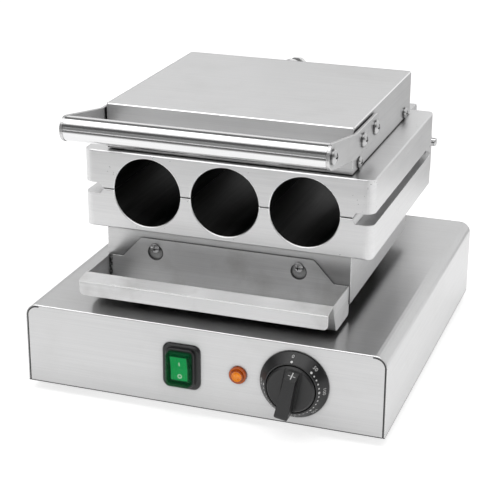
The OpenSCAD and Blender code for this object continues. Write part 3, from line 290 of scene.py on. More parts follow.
crevice, given, gives = group(
    "Crevice", [("Reach", FLOAT, CREVICE_REACH), ("Weight", FLOAT, CREVICE_WEIGHT)],
    [("Value", FLOAT)])
light = put(crevice, "ShaderNodeAmbientOcclusion", {"Distance": given["Reach"]},
            samples=CREVICE_SAMPLES).outputs["AO"]
closed = between(crevice, light, CREVICE_SHUT, CREVICE_OPEN, 1.0, 0.0)
settle(crevice, gives, {"Value": both(crevice, closed, given["Weight"])})
print("group:", crevice.name)


# Paints shade into the crevices: the colour turns to the given shade where the mask is high.
def shaded_in_crevices(tree, colour, shade, reach=CREVICE_REACH, weight=CREVICE_WEIGHT):
    mask = use(tree, crevice, {"Reach": reach, "Weight": weight})["Value"]
    return two_colours(tree, mask, colour, shade)


# %% [markdown]
# ## Folds
# A sheet that is bent over shows a thin bright line along the fold. The edge group draws none
# on thin sheet, where the inner wall's fold cancels the outer one's. So a fold is given by
# place, as two faces, each with its axis, position and side. Near both the normal leans out,
# and the sheet's finish paints a highlight into its colour there.

# %% Folds
FOLD_WIDE, FOLD_LEAN = 0.0009, 6.0


def folded(tree, place, normal, folds):
    """Leans the normal over along the outer folds, and gives a mask of them for a painted
    highlight.
    """
    parts = parts_of(tree, place)
    total = 0.0
    for fold in folds:                  # each face of a fold leans the normal along its own axis
        near = [off_middle(tree, parts[axis], at) for axis, at, sign in fold]
        on = between(tree, maths(tree, "MAXIMUM", *near), FOLD_WIDE, FOLD_WIDE / 2)
        lean = vector_of(tree, **{"xyz"[axis]: both(tree, on, sign * FOLD_LEAN)
                                  for axis, at, sign in fold})
        normal = vector_maths(tree, "ADD", normal, lean)[0]
        total = maths(tree, "MAXIMUM", on, total)
    return vector_maths(tree, "NORMALIZE", normal)[0], total


def top_folds(name, sides="xy"):
    low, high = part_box(name)
    top = (2, high.z, 1)
    return [((axis, at[axis], sign), top) for axis in map("xyz".index, sides)
            for at, sign in ((low, -1), (high, 1))]


# %% [markdown]
# ## Brushed sheet steel
# The casing, the housing, the cover and the tray are one kind of sheet. Its colour is the
# light grey that steel mirrors head on, and the grain moves both colour and roughness a little.
# Scratches smear a reflection across their own direction: the tangent says which way that is.
# Each sheet may add its own thin lines of painted shade, its own stains and its own bend of the
# normal. Each copy scales its colours up or down as painted light and shade, and every sheet
# gets a painted highlight along rounded edges and folds and painted shade in its crevices.

# %% Brushed steel
SHEET_LIGHT, SHEET_DARK, STAIN = (0.69, 0.69, 0.69), (0.55, 0.55, 0.555), (0.36, 0.35, 0.33)
# A painted highlight for edges and folds, and painted shade for crevices and thin lines.
EDGE_HIGHLIGHT, SHEET_CREVICE, LINE_SHADE = (0.95, 0.95, 0.95), (0.06, 0.06, 0.06), (0.03, 0.03, 0.03)
SHEET_EDGE, SHEET_GRAIN = 0.0008, 0.12
GRAIN_LOW, GRAIN_HIGH, GRAIN_SHARE = 0.2, 0.8, 0.7   # the smudges have the rest of the tone
STAIN_CELLS, STAIN_LOW, STAIN_HIGH = 26.0, 0.5, 0.85
HIGHLIGHT_SHARE, HIGHLIGHT_SMOOTHER, ROUGH_SPREAD = 0.65, 0.5, 0.1
CONTACT_REACH, CONTACT_WEIGHT = 0.04, 0.35           # the wide shade where pieces stand close


def brushed(name, stained, painted_light_scale=1.0, rounding=SHEET_EDGE, rough=0.3, smear=0.45,
            contact_shade=CONTACT_WEIGHT, shade_lines=None, bend=None, folds=()):
    made, tree, shader = finish(name)
    place = place_of(tree)
    rim = use(tree, edge, {"Radius": rounding})
    soft, fold = folded(tree, place, rim["Normal"], folds)
    normal = bend(tree, place, soft) if bend else soft
    lines = use(tree, grain, {"Depth": SHEET_GRAIN, "Normal": normal})
    clouds = smudged(tree)
    tone = between(tree, lines["Value"], GRAIN_LOW, GRAIN_HIGH, 0.0, GRAIN_SHARE)
    tone = maths(tree, "MULTIPLY_ADD", clouds, 1 - GRAIN_SHARE, tone)
    # The scale lightens or darkens this copy's colours: painted light and shade.
    dark, light = (tuple(painted_light_scale * v for v in c) for c in (SHEET_DARK, SHEET_LIGHT))
    colour = two_colours(tree, tone, dark, light)
    patches = between(tree, smudged(tree, STAIN_CELLS), STAIN_LOW, STAIN_HIGH, 0.0, stained)
    colour = two_colours(tree, patches, colour, STAIN)
    # A painted highlight along rounded edges and folds, with a smoother mirror there.
    edge_highlight = both(tree, maths(tree, "MAXIMUM", rim["Highlight"], fold), HIGHLIGHT_SHARE)
    colour = two_colours(tree, edge_highlight, colour, EDGE_HIGHLIGHT)
    # Painted shade, wide where pieces stand close and narrow in crevices.
    colour = shaded_in_crevices(tree, colour, SHEET_CREVICE, CONTACT_REACH, contact_shade)
    colour = shaded_in_crevices(tree, colour, SHEET_CREVICE)
    # Thin lines of painted shade.
    if shade_lines:
        colour = two_colours(tree, shade_lines(tree, place), colour, LINE_SHADE)
    across = vector_of(tree, y=maths(tree, "SUBTRACT", 1.0, lines["Side"]), z=1.0)
    polished = maths(tree, "MULTIPLY_ADD", edge_highlight, -HIGHLIGHT_SMOOTHER, 1.0)
    mirror = spread(tree, clouds, (1 - ROUGH_SPREAD) * rough, (1 + ROUGH_SPREAD) * rough)
    settle(tree, shader, {
        "Base Color": colour, "Metallic": 1.0, "Roughness": both(tree, mirror, polished),
        "Anisotropic": smear, "Tangent": across, "Normal": lines["Normal"]})
    return made


paint(brushed("Brushed sheet steel", stained=0.2, painted_light_scale=1.02), "bottom_plate", "lower_housing",
      "housing_spacers", "lower_clamp_plate", "upper_clamp_plate", "cover_brackets", "handle_arms")
paint(brushed("Brushed cover", stained=0.1, painted_light_scale=1.06, folds=top_folds("upper_cover")),
      "upper_cover")

# %% [markdown]
# ### The casing's seams
# The casing is one bent sheet, closed in front and behind by folded flaps. The gap round each
# flap and the hem along the lower edge get thin dark lines of painted shade. Their mask is a
# distance: how far a point lies out from the middle of the corner's bend.

# %% Casing
casing_low, casing_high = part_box("base_casing")
CASING_BEND = 0.010                     # outer radius of the two long top folds
SEAM_NEAR, SEAM_FAR = 0.0022, 0.0007    # the seam lies between these depths under the outside
# The last value is how dark the painted shade in the seams and along the hem is.
SEAM_MORE, HEM, SEAM_SHADE = 0.002, 0.0009, 0.85


def casing_shade_lines(tree, place):
    x, y, z = parts_of(tree, place)
    x = maths(tree, "ABSOLUTE", x)
    out, up = (maths(tree, "MAXIMUM", maths(tree, "SUBTRACT", part, side - CASING_BEND))
               for part, side in ((x, casing_high.x), (z, casing_high.z)))
    ring = within(tree, far_out(tree, out, up), CASING_BEND - SEAM_NEAR, CASING_BEND - SEAM_FAR)
    ring = both(tree, ring, over(tree, x, casing_high.x - CASING_BEND - SEAM_MORE))
    middle = (casing_low.y + casing_high.y) / 2
    flap = over(tree, off_middle(tree, y, middle), casing_high.y - middle - HEM)
    hem = under(tree, z, casing_low.z + HEM)
    return both(tree, maths(tree, "MAXIMUM", both(tree, ring, flap), hem), SEAM_SHADE)


paint(brushed("Brushed casing", stained=0.1, painted_light_scale=0.93, shade_lines=casing_shade_lines,
              folds=top_folds("base_casing", "y")), "base_casing")

# %% [markdown]
# ### The drip tray
# The tray's keyholes get rims of painted shade, and its left inner corner is darkened in
# blotches. The turned lip rolls forward a little, so it mirrors the light above and not only
# the moulds. All three are masks by place: the tray itself is one clean mesh.

# %% Tray
tray_low, tray_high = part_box("drip_tray")
TRAY_EDGE = 0.0006
KEYHOLE_X, KEYHOLE_Z, KEYHOLE_R = 0.063, 0.1135, 0.0063
# The last value darkens the keyhole rims as painted shade, and the left inner corner in blotches.
RIM_WIDE, WALL_NEAR, TRAY_MARK_SHADE = 0.0007, 0.0016, 0.8
BLOTCH_CELLS, BLOTCH_OUT, BLOTCH_IN = 700.0, 0.62, 0.5
LIP_LEVEL, LIP_BACK = 0.9, 0.0136       # the lip faces up, and reaches this far back
LIP_CROWN, LIP_EDGE_Z = -0.2, 0.1046    # how its normal leans forward, and its front fold's height


# Painted shade round the keyholes, and blotchy darkening in the left inner corner.
def tray_shade_lines(tree, place):
    x, y, z = parts_of(tree, place)
    beside = maths(tree, "SUBTRACT", maths(tree, "ABSOLUTE", x), KEYHOLE_X)
    far = far_out(tree, beside, maths(tree, "SUBTRACT", z, KEYHOLE_Z))
    rim = within(tree, far, KEYHOLE_R - RIM_WIDE, KEYHOLE_R + RIM_WIDE)
    rim = both(tree, rim, over(tree, y, tray_high.y - WALL_NEAR))
    corner = both(tree, under(tree, maths(tree, "SUBTRACT", x, tray_low.x), 2 * WALL_NEAR),
                  under(tree, maths(tree, "SUBTRACT", tray_high.y, y), 2 * WALL_NEAR))
    blotches = between(tree, noise(tree, place, BLOTCH_CELLS), BLOTCH_OUT, BLOTCH_IN)
    return both(tree, maths(tree, "MAXIMUM", rim, both(tree, corner, blotches)), TRAY_MARK_SHADE)


def lip_crown(tree, place, normal):
    on_lip = both(tree, under(tree, parts_of(tree, place)[1], tray_low.y + LIP_BACK),
                  over(tree, parts_of(tree, normal)[2], LIP_LEVEL))
    bent = vector_maths(tree, "ADD", normal, vector_of(tree, y=both(tree, on_lip, LIP_CROWN)))[0]
    return vector_maths(tree, "NORMALIZE", bent)[0]


lip_fold = ((1, tray_low.y, -1), (2, LIP_EDGE_Z, 1))
paint(brushed("Brushed tray", stained=0.4, painted_light_scale=1.16, rounding=TRAY_EDGE, rough=0.4, smear=0.8,
              contact_shade=0.05, shade_lines=tray_shade_lines, bend=lip_crown, folds=[lip_fold]), "drip_tray")

# %% [markdown]
# ## Milled aluminium
# The moulds and hinge blocks are milled plates. A face mill leaves wide, shallow passes, so
# the grain is softer here and broad bands lie over it. Cast plate also has a few open pores:
# the middles of cells, and only where a second, slow noise is high.

# %% The milling group
MILL_PASS, MILL_LONG = 55.0, 6.0        # passes per metre across, and how fast they fade along
MILL_DETAIL, MILL_ROUGH, MILL_DEPTH, MILL_DEEP = 4.0, 0.75, 0.25, 0.0004
PORE_CELLS, PORE_SIZE, PORE_DEEP = 420.0, 0.13, 0.6
PORE_PATCHES, PORE_RARE = 38.0, 0.62

milling, given, gives = group("Milling", [("Normal", VECTOR, None)],
                              [("Bands", FLOAT), ("Pores", FLOAT), ("Normal", VECTOR)])
place = place_of(milling)
bands = noise(milling, stretched(milling, place, (MILL_LONG, MILL_LONG * 2, MILL_PASS)), 1.0,
              MILL_DETAIL, MILL_ROUGH)
cells = put(milling, "ShaderNodeTexVoronoi", {"Vector": place, "Scale": PORE_CELLS})
pores = both(milling, under(milling, cells.outputs["Distance"], PORE_SIZE),
             over(milling, noise(milling, place, PORE_PATCHES), PORE_RARE))
height = maths(milling, "MULTIPLY_ADD", pores, -PORE_DEEP, bands)
settle(milling, gives, {
    "Bands": bands, "Pores": pores,
    "Normal": bumped(milling, height, MILL_DEPTH, MILL_DEEP, given["Normal"])})
print("group:", milling.name)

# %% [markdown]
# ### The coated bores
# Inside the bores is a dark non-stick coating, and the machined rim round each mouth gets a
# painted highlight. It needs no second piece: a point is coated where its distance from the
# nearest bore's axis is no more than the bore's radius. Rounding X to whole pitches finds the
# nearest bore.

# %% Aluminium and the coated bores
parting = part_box("upper_mould")[0].z
BORE_PITCH, BORE_RADIUS, LAST_BORE = 0.068, 0.0292, 1.0
COAT_EDGE, MOUTH_WIDE = 0.0002, 0.0009
ALUMINIUM_LIGHT, ALUMINIUM_DARK = (0.77, 0.77, 0.77), (0.62, 0.62, 0.625)
# A painted highlight for the mouths' rims and rounded edges, and painted shade for pores and
# crevices.
RIM_HIGHLIGHT, PORE_AND_CREVICE_SHADE = (0.9, 0.9, 0.9), (0.16, 0.16, 0.16)
COAT_LIGHT, COAT_DARK = (0.022, 0.022, 0.022), (0.005, 0.005, 0.005)
CAST_EDGE, CAST_GRAIN, GRAIN_PART, BAND_PART = 0.0008, 0.06, 0.4, 0.6
CAST_LOW, CAST_HIGH, CAST_REACH, CAST_HIGHLIGHT, CAST_MIRROR = 0.3, 0.7, 0.003, 0.6, (0.3, 0.4)
STREAK_SCALE, STREAK_DETAIL, STREAK_LOW, STREAK_HIGH = (260.0, 7.0, 260.0), 3.0, 0.4, 0.75

cast, tree, shader = finish("Milled aluminium")
place = place_of(tree)
x, y, z = parts_of(tree, place)
column = maths(tree, "ROUND", maths(tree, "DIVIDE", x, BORE_PITCH))
column = maths(tree, "MINIMUM", maths(tree, "MAXIMUM", column, -LAST_BORE), LAST_BORE)
reach = far_out(tree, maths(tree, "MULTIPLY_ADD", column, -BORE_PITCH, x),
                maths(tree, "SUBTRACT", z, parting))
coated = under(tree, reach, BORE_RADIUS + COAT_EDGE)
mouth = within(tree, reach, BORE_RADIUS + COAT_EDGE, BORE_RADIUS + COAT_EDGE + MOUTH_WIDE)
rim = use(tree, edge, {"Radius": CAST_EDGE})
lines = use(tree, grain, {"Depth": CAST_GRAIN, "Normal": rim["Normal"]})
mill = use(tree, milling, {"Normal": lines["Normal"]})
tone = maths(tree, "MULTIPLY_ADD", lines["Value"], GRAIN_PART, both(tree, mill["Bands"], BAND_PART))
bare = two_colours(tree, between(tree, tone, CAST_LOW, CAST_HIGH), ALUMINIUM_DARK, ALUMINIUM_LIGHT)
# The pores and the crevices are darkened: painted shade.
bare = shaded_in_crevices(tree, two_colours(tree, mill["Pores"], bare, PORE_AND_CREVICE_SHADE), PORE_AND_CREVICE_SHADE, CAST_REACH)
# A painted highlight on each mouth's rim and on rounded edges.
bright = maths(tree, "MAXIMUM", mouth, both(tree, rim["Highlight"], CAST_HIGHLIGHT))
bare = two_colours(tree, bright, bare, RIM_HIGHLIGHT)
streak = noise(tree, stretched(tree, place, STREAK_SCALE), 1.0, STREAK_DETAIL)
coat = two_colours(tree, between(tree, streak, STREAK_LOW, STREAK_HIGH), COAT_DARK, COAT_LIGHT)
settle(tree, shader, {
    "Base Color": two_colours(tree, coated, bare, coat),
    "Metallic": maths(tree, "SUBTRACT", 1.0, coated), "Specular IOR Level": 0.12,
    "Roughness": between(tree, mill["Bands"], CAST_LOW, CAST_HIGH, *CAST_MIRROR),
    "Normal": mill["Normal"]})
paint(cast, "lower_mould", "upper_mould", "lower_hinge_blocks", "upper_hinge_blocks")

# %% [markdown]
# ## Polished steel
# The handle tube, the hinge pins, the conduit with its glands and the thermostat's body are
# bright. Polishing leaves very fine lines, so the same grain is used with little depth, and
# large smudges dull the mirror here and there.

# %% Polished steel
POLISH_LIGHT, POLISH_DARK = (0.82, 0.82, 0.82), (0.66, 0.66, 0.665)
POLISH_CREVICE = (0.06, 0.06, 0.06)
POLISH_EDGE, POLISH_GRAIN, POLISH_REACH = 0.0002, 0.05, 0.002
POLISH_CLOUDS, POLISH_MIRROR = 30.0, (0.1, 0.16)     # the mirror's roughness, between two values

polish, tree, shader = finish("Polished steel")
lines = use(tree, grain, {"Depth": POLISH_GRAIN, "Normal": soft_edged(tree, POLISH_EDGE)})
colour = two_colours(tree, lines["Value"], POLISH_DARK, POLISH_LIGHT)
# The crevices get painted shade.
settle(tree, shader, {
    "Base Color": shaded_in_crevices(tree, colour, POLISH_CREVICE, POLISH_REACH), "Metallic": 1.0,
    "Roughness": spread(tree, smudged(tree, POLISH_CLOUDS), *POLISH_MIRROR),
    "Normal": lines["Normal"]})
paint(polish, "handle_tube", "hinge_pins", "conduit", "cover_gland", "housing_gland",
      "thermostat_body")

# %% [markdown]
# ### Screws
# Screws are plated, not polished: a little darker and softer, with painted shade in each
# recess. The plating's skin is the pebble group at a small size.

# %% Plated screws
# The last colour is painted shade for each recess.
PLATED_LIGHT, PLATED_DARK, RECESS_SHADE = (0.6, 0.6, 0.6), (0.42, 0.42, 0.425), (0.01, 0.01, 0.01)
SMALL_EDGE = 0.0003                     # the rounding of every small piece
PLATED_CLOUDS, PLATED_CELLS, PLATED_DEPTH = 140.0, 1600.0, 0.1
RECESS_REACH, RECESS_WEIGHT, PLATED_MIRROR = 0.003, 1.0, (0.2, 0.32)

plated, tree, shader = finish("Plated screws")
clouds = smudged(tree, PLATED_CLOUDS)
skin = use(tree, pebble, {"Cells": PLATED_CELLS, "Depth": PLATED_DEPTH,
                          "Normal": soft_edged(tree, SMALL_EDGE)})
colour = two_colours(tree, clouds, PLATED_DARK, PLATED_LIGHT)
settle(tree, shader, {
    "Base Color": shaded_in_crevices(tree, colour, RECESS_SHADE, RECESS_REACH, RECESS_WEIGHT),
    "Metallic": 1.0, "Roughness": spread(tree, clouds, *PLATED_MIRROR), "Normal": skin["Normal"]})
paint(plated, "handle_screws", "arm_screws", "cover_screws", "tray_screws", "bottom_screws",
      "foot_screws", "spacer_bolts", "mould_screws", "lower_clamp_bolts", "upper_clamp_bolts",
      "lower_block_bolts", "upper_block_bolts", "thermostat_screws", "bracket_screws")

# %% [markdown]
# ## Dark metal
# The heaters, the wire sleeve, the pin clips, the arm spacers and the handle plugs are dull,
# heat-darkened metal. Smudges alone mottle its skin: it has no grain to show.

# %% Dark metal
DULL_LIGHT, DULL_DARK = (0.3, 0.3, 0.3), (0.16, 0.16, 0.165)
DULL_CLOUDS, DULL_MIRROR = 60.0, (0.35, 0.55)

dark, tree, shader = finish("Dark metal")
clouds = smudged(tree, DULL_CLOUDS)
settle(tree, shader, {
    "Base Color": two_colours(tree, clouds, DULL_DARK, DULL_LIGHT), "Metallic": 1.0,
    "Roughness": spread(tree, clouds, *DULL_MIRROR), "Normal": soft_edged(tree, SMALL_EDGE)})
paint(dark, "wire_sleeve", "lower_heater", "upper_heater", "pin_clips", "arm_spacers",
      "handle_plugs")

# %% [markdown]
# ## Plastic and rubber
# The dial, the knob, the switch frame and the cable gland are moulded. Moulded plastic has a
# faint pebble from the tool's surface. The rubber feet are duller and coarser, and the
# terminal block is white. One function makes them all, since only their values differ.

# %% Black plastic, rubber and nylon
MOULDED_CLOUDS = 45.0


def moulded(name, dark_tone, light_tone, cells, depth, rough, glow=0.0):
    made, tree, shader = finish(name)
    clouds = smudged(tree, MOULDED_CLOUDS)
    skin = use(tree, pebble, {"Cells": cells, "Depth": depth,
                              "Normal": soft_edged(tree, SMALL_EDGE)})
    settle(tree, shader, {
        "Base Color": two_colours(tree, clouds, dark_tone, light_tone),
        "Emission Color": (1.0, 1.0, 1.0, 1.0), "Emission Strength": glow,
        "Roughness": spread(tree, clouds, *rough), "Normal": skin["Normal"]})
    return made


black = moulded("Black plastic", (0.012, 0.012, 0.013), (0.022, 0.022, 0.022),
                cells=2600.0, depth=0.15, rough=(0.3, 0.42))
paint(black, "switch_frame", "switch_body", "indicator_body", "dial_ring", "thermostat_knob",
      "mains_gland")
rubber = moulded("Rubber", (0.02, 0.02, 0.02), (0.035, 0.035, 0.034),
                 cells=1500.0, depth=0.3, rough=(0.7, 0.85))
paint(rubber, "rubber_feet")
nylon = moulded("White nylon", (0.72, 0.72, 0.68), (0.8, 0.8, 0.77),
                cells=1800.0, depth=0.1, rough=(0.4, 0.55))
paint(nylon, "terminal_block")

# %% [markdown]
# ## Mineral wool
# The blankets over the heaters are felted fibre: noise at two sizes makes tufts and fibres.
# Modelled fibres would cost far more than pieces that the housing and the cover hide are worth.

# %% Mineral wool
WOOL_LIGHT, WOOL_DARK = (0.85, 0.82, 0.72), (0.5, 0.46, 0.36)
TUFT_CELLS, FIBRE_CELLS, FIBRE_DEPTH = 90.0, 1800.0, 0.8

wool, tree, shader = finish("Mineral wool")
fibres = use(tree, pebble, {"Cells": FIBRE_CELLS, "Depth": FIBRE_DEPTH})
tufts = both(tree, smudged(tree, TUFT_CELLS), fibres["Value"])
settle(tree, shader, {
    "Base Color": two_colours(tree, tufts, WOOL_DARK, WOOL_LIGHT),
    "Roughness": 0.95, "Normal": fibres["Normal"]})
paint(wool, "lower_insulation", "upper_insulation")

# %% [markdown]
# ## The switch's boot
# A clear soft boot keeps crumbs and grease out of the rocker. It is a green skin, clear where
# it is seen head on and greener and shinier where it is seen at a slant. A mix with a plain
# transparent shader draws that with little noise, where real refraction would need many rays.

# %% Green boot
BOOT_LIGHT, BOOT_DARK = (0.02, 0.2, 0.075), (0.01, 0.12, 0.045)
TINT_LIGHT, TINT_DARK = (0.9, 1.0, 0.93), (0.84, 0.98, 0.88)
BOOT_CLOUDS, BOOT_CELLS, BOOT_DEPTH = 120.0, 500.0, 0.12
BOOT_EDGE, BOOT_MIRROR = 0.0005, (0.06, 0.16)
SLANT_BLEND, HEAD_ON, AT_A_SLANT = 0.35, 0.03, 0.8   # how much of the skin is seen

boot, tree, shader = finish("Clear green boot")
clouds = smudged(tree, BOOT_CLOUDS)
skin = use(tree, pebble, {"Cells": BOOT_CELLS, "Depth": BOOT_DEPTH,
                          "Normal": soft_edged(tree, BOOT_EDGE)})["Normal"]
settle(tree, shader, {
    "Base Color": two_colours(tree, clouds, BOOT_DARK, BOOT_LIGHT), "IOR": 1.42,
    "Specular IOR Level": 0.15, "Roughness": spread(tree, clouds, *BOOT_MIRROR),
    "Normal": skin})
through = put(tree, "ShaderNodeBsdfTransparent",
              {"Color": two_colours(tree, clouds, TINT_DARK, TINT_LIGHT)})
facing = put(tree, "ShaderNodeLayerWeight", {"Blend": SLANT_BLEND, "Normal": skin})
share = spread(tree, facing.outputs["Facing"], HEAD_ON, AT_A_SLANT)
mixed = put(tree, "ShaderNodeMixShader", {0: share, 1: through.outputs[0], 2: shader.outputs[0]})
tree.links.new(mixed.outputs[0], tree.nodes["Material Output"].inputs["Surface"])
paint(boot, "switch_boot")

# %% [markdown]
# ## The rocker
# The rocker under the boot is glossy green. A mask by place gives its face a brighter green and
# a little light of its own, which is painted light, and leaves its rim a dark green, which is
# painted shade.

# %% Green rocker
rocker_low, rocker_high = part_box("switch_rocker")
rocker_x, rocker_z = (rocker_low.x + rocker_high.x) / 2, (rocker_low.z + rocker_high.z) / 2
FACE_HALF_X, FACE_HALF_Z, FACE_SHIFT = 0.0073, 0.0106, -0.0007
# The glow on the face is painted light, and the rim's dark green is painted shade.
FACE_LIGHT, FACE_DARK, FACE_PAINTED_GLOW = (0.003, 0.58, 0.18), (0.0, 0.46, 0.13), (0.0, 0.6, 0.19)
ROCKER_RIM_SHADE, NO_LIGHT = (0.0, 0.09, 0.035), (0.0, 0.0, 0.0)
ROCKER_CLOUDS, ROCKER_CELLS, ROCKER_DEPTH, ROCKER_MIRROR = 150.0, 1800.0, 0.05, (0.15, 0.25)

rocker, tree, shader = finish("Green rocker")
x, y, z = parts_of(tree, place_of(tree))
face = both(tree, under(tree, off_middle(tree, x, rocker_x + FACE_SHIFT), FACE_HALF_X),
            under(tree, off_middle(tree, z, rocker_z), FACE_HALF_Z))
clouds = smudged(tree, ROCKER_CLOUDS)
green = two_colours(tree, clouds, FACE_DARK, FACE_LIGHT)
settle(tree, shader, {
    "Base Color": two_colours(tree, face, ROCKER_RIM_SHADE, green),
    "Emission Color": two_colours(tree, face, NO_LIGHT, FACE_PAINTED_GLOW), "Emission Strength": 0.15,
    "Roughness": spread(tree, clouds, *ROCKER_MIRROR),
    "Normal": use(tree, pebble, {"Cells": ROCKER_CELLS, "Depth": ROCKER_DEPTH})["Normal"]})
paint(rocker, "switch_rocker")

# %% [markdown]
# ## The lamp
# The lamp is clear amber plastic. Fine rings and facets moulded in its face spread the light,
# which is strongest in the middle and broken by darker fans, and a dark ring lies near the rim.

# %% Amber lens
lens_low, lens_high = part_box("indicator_lens")
lens_middle = (lens_low + lens_high) / 2
LENS_RINGS, RING_PART, FACET_CELLS = 900.0, 0.15, 520.0
LENS_DEPTH, LENS_DEEP = 0.5, 0.0004
GLOW_FULL, GLOW_END = 0.0028, 0.0068    # the glow fades between these radii
FAN_CELLS, FAN_LOW, FAN_HIGH, FAN_DIM = 420.0, 0.35, 0.6, 0.6
SHADE_FROM, SHADE_TO = 0.0044, 0.0056
AMBER_LIGHT, AMBER_DARK, AMBER_SHADE = (1.0, 0.3, 0.0), (0.62, 0.1, 0.0), (0.3, 0.02, 0.0)
AMBER_GLOW = (1.0, 0.33, 0.02)

amber, tree, shader = finish("Amber lens")
offset = vector_maths(tree, "SUBTRACT", place_of(tree), lens_middle)[0]
flat = vector_maths(tree, "MULTIPLY", offset, (1.0, 0.0, 1.0))[0]
radius = vector_maths(tree, "LENGTH", flat)["Value"]
rings = maths(tree, "SINE", both(tree, radius, 2 * pi * LENS_RINGS))
facets = put(tree, "ShaderNodeTexVoronoi", {"Vector": offset, "Scale": FACET_CELLS})
relief = maths(tree, "MULTIPLY_ADD", rings, RING_PART, facets.outputs["Distance"])
middle = between(tree, radius, GLOW_FULL, GLOW_END, 1.0, 0.0)
fans = between(tree, noise(tree, offset, FAN_CELLS), FAN_LOW, FAN_HIGH, FAN_DIM, 1.0)
glow = both(tree, middle, fans)
colour = two_colours(tree, glow, AMBER_DARK, AMBER_LIGHT)
shade = within(tree, radius, SHADE_FROM, SHADE_TO)
settle(tree, shader, {
    "Base Color": two_colours(tree, shade, colour, AMBER_SHADE), "Roughness": 0.08, "IOR": 1.5,
    "Emission Color": two_colours(tree, glow, NO_LIGHT, AMBER_GLOW), "Emission Strength": 0.25,
    "Normal": bumped(tree, relief, LENS_DEPTH, LENS_DEEP, soft_edged(tree, SMALL_EDGE))})
paint(amber, "indicator_lens")

# %% [markdown]
# ## Printed marks
# The dial's dots and numbers, the mark on the knob and the two signs on the switch are white
# print. A picture of them would blur close up, so each is cut as a thin plate and then laid
# onto the surface behind it: a ray runs back from every point and finds where that surface is.

# %% Tools for print
PRINT_THICK, SEARCH_FROM = 0.00012, -0.5
PRINT_LOOK = {"dark_tone": (0.78, 0.78, 0.77), "light_tone": (0.9, 0.9, 0.89), "cells": 3000.0,
              "depth": 0.1, "rough": (0.35, 0.5)}

ink = moulded("White print", **PRINT_LOOK)
# The signs under the boot get a little light of their own: painted light.
painted_glow_ink = moulded("White print under the boot", **PRINT_LOOK, glow=0.4)
print("print in", ink.name, "and", painted_glow_ink.name)


def skin_of(node):
    mesh = nodes[node].data
    return BVHTree.FromPolygons([v.co for v in mesh.vertices],
                                [tuple(p.vertices) for p in mesh.polygons])


def lay(piece, behind):
    """Moves each point of a plate in the XZ plane, front side at y = 0, onto what lies behind."""
    for vertex in piece.data.vertices:
        start = Vector((vertex.co.x, SEARCH_FROM, vertex.co.z))
        hit = behind.ray_cast(start, Vector((0, 1, 0)))[0]
        if hit is None:
            raise RuntimeError(f"nothing behind {piece.name} at {vertex.co}")
        vertex.co.y = hit.y + vertex.co.y - PRINT_THICK
    piece.data.update()


def apply_all(piece):
    bpy.ops.object.select_all(action="DESELECT")
    bpy.context.view_layer.objects.active = piece
    piece.select_set(True)
    bpy.ops.object.convert(target="MESH")
    return piece


def plate(name, outlines):
    """Outlines in the XZ plane, as faces that are then thickened."""
    mesh = bpy.data.meshes.new(name)
    corners, faces = [], []
    for outline in outlines:
        faces.append(range(len(corners), len(corners) + len(outline)))
        corners += [(px, 0.0, pz) for px, pz in outline]
    mesh.from_pydata(corners, [], faces)
    piece = bpy.data.objects.new(name, mesh)
    bpy.context.scene.collection.objects.link(piece)
    thicken = piece.modifiers.new("thickness", "SOLIDIFY")
    thicken.thickness, thicken.offset = PRINT_THICK, -1.0
    return apply_all(piece)


def own(piece, made, body):
    piece.data.materials.clear()
    piece.data.materials.append(made)
    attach(piece, body)
    print(piece.name, "has", len(piece.data.vertices), "points")


# %% [markdown]
# ### Outlines
# A mark is drawn upright about the origin, then turned clockwise and moved to its place.

# %% Outlines
def round_outline(x, z, r, steps):
    turns = [2 * pi * k / steps for k in range(steps)]
    return [(x + r * cos(a), z + r * sin(a)) for a in turns]


def bar(x, z, wide, high):
    return [(x - wide / 2, z - high / 2), (x + wide / 2, z - high / 2),
            (x + wide / 2, z + high / 2), (x - wide / 2, z + high / 2)]


def turned(points, clockwise, x, z):
    a = radians(clockwise)
    return [(x + px * cos(a) + pz * sin(a), z - px * sin(a) + pz * cos(a)) for px, pz in points]


# %% [markdown]
# ### The dial's dots
# The scale runs clockwise from 0 at the top. A large dot stands at 0 and at every 50 up to 300,
# 45 degrees apart. Four small dots part each two large ones from 50 on. The ring is a steep
# cone, so print on it is drawn low, as it looks from the front.

# %% Dial dots
ring_low, ring_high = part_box("dial_ring")
dial_x, dial_z = (ring_low.x + ring_high.x) / 2, (ring_low.z + ring_high.z) / 2
DOT_CIRCLE, DIAL_SLOPE = 0.0230, 0.62
LARGE_DOT, LARGE_STEPS, SMALL_DOT, SMALL_STEPS = 0.00105, 20, 0.00072, 12
LARGE_COUNT, LARGE_ANGLE, PARTS = 7, 45.0, 5         # small dots cut each span into five parts
ring_skin = skin_of("dial_ring")


def on_dial(clockwise, r):
    a = radians(clockwise)
    return dial_x + r * sin(a), dial_z + r * cos(a)


def dot(clockwise, r, steps):
    low_dot = [(px, pz * DIAL_SLOPE) for px, pz in round_outline(0, 0, r, steps)]
    return turned(low_dot, clockwise, *on_dial(clockwise, DOT_CIRCLE))


dots = [dot(LARGE_ANGLE * k, LARGE_DOT, LARGE_STEPS) for k in range(LARGE_COUNT)]
dots += [dot(LARGE_ANGLE * (k + j / PARTS), SMALL_DOT, SMALL_STEPS)
         for k in range(1, LARGE_COUNT - 1) for j in range(1, PARTS)]
dial_dots = plate("dial_dots", dots)
lay(dial_dots, ring_skin)
own(dial_dots, ink, "base")

# %% [markdown]
# ### The dial's numbers
# Blender's own letters make the numbers: each text becomes a mesh, stands up, turns with its
# place on the dial and is laid on the ring. At the end they are joined into one piece.

# %% Dial numbers
NUMBER_CIRCLE, NUMBER_HIGH, NUMBER_STEP = 0.0260, 0.0030, 50
FONT_SIZE, CURVE_STEPS = 1.42, 3        # font size for digits one unit high

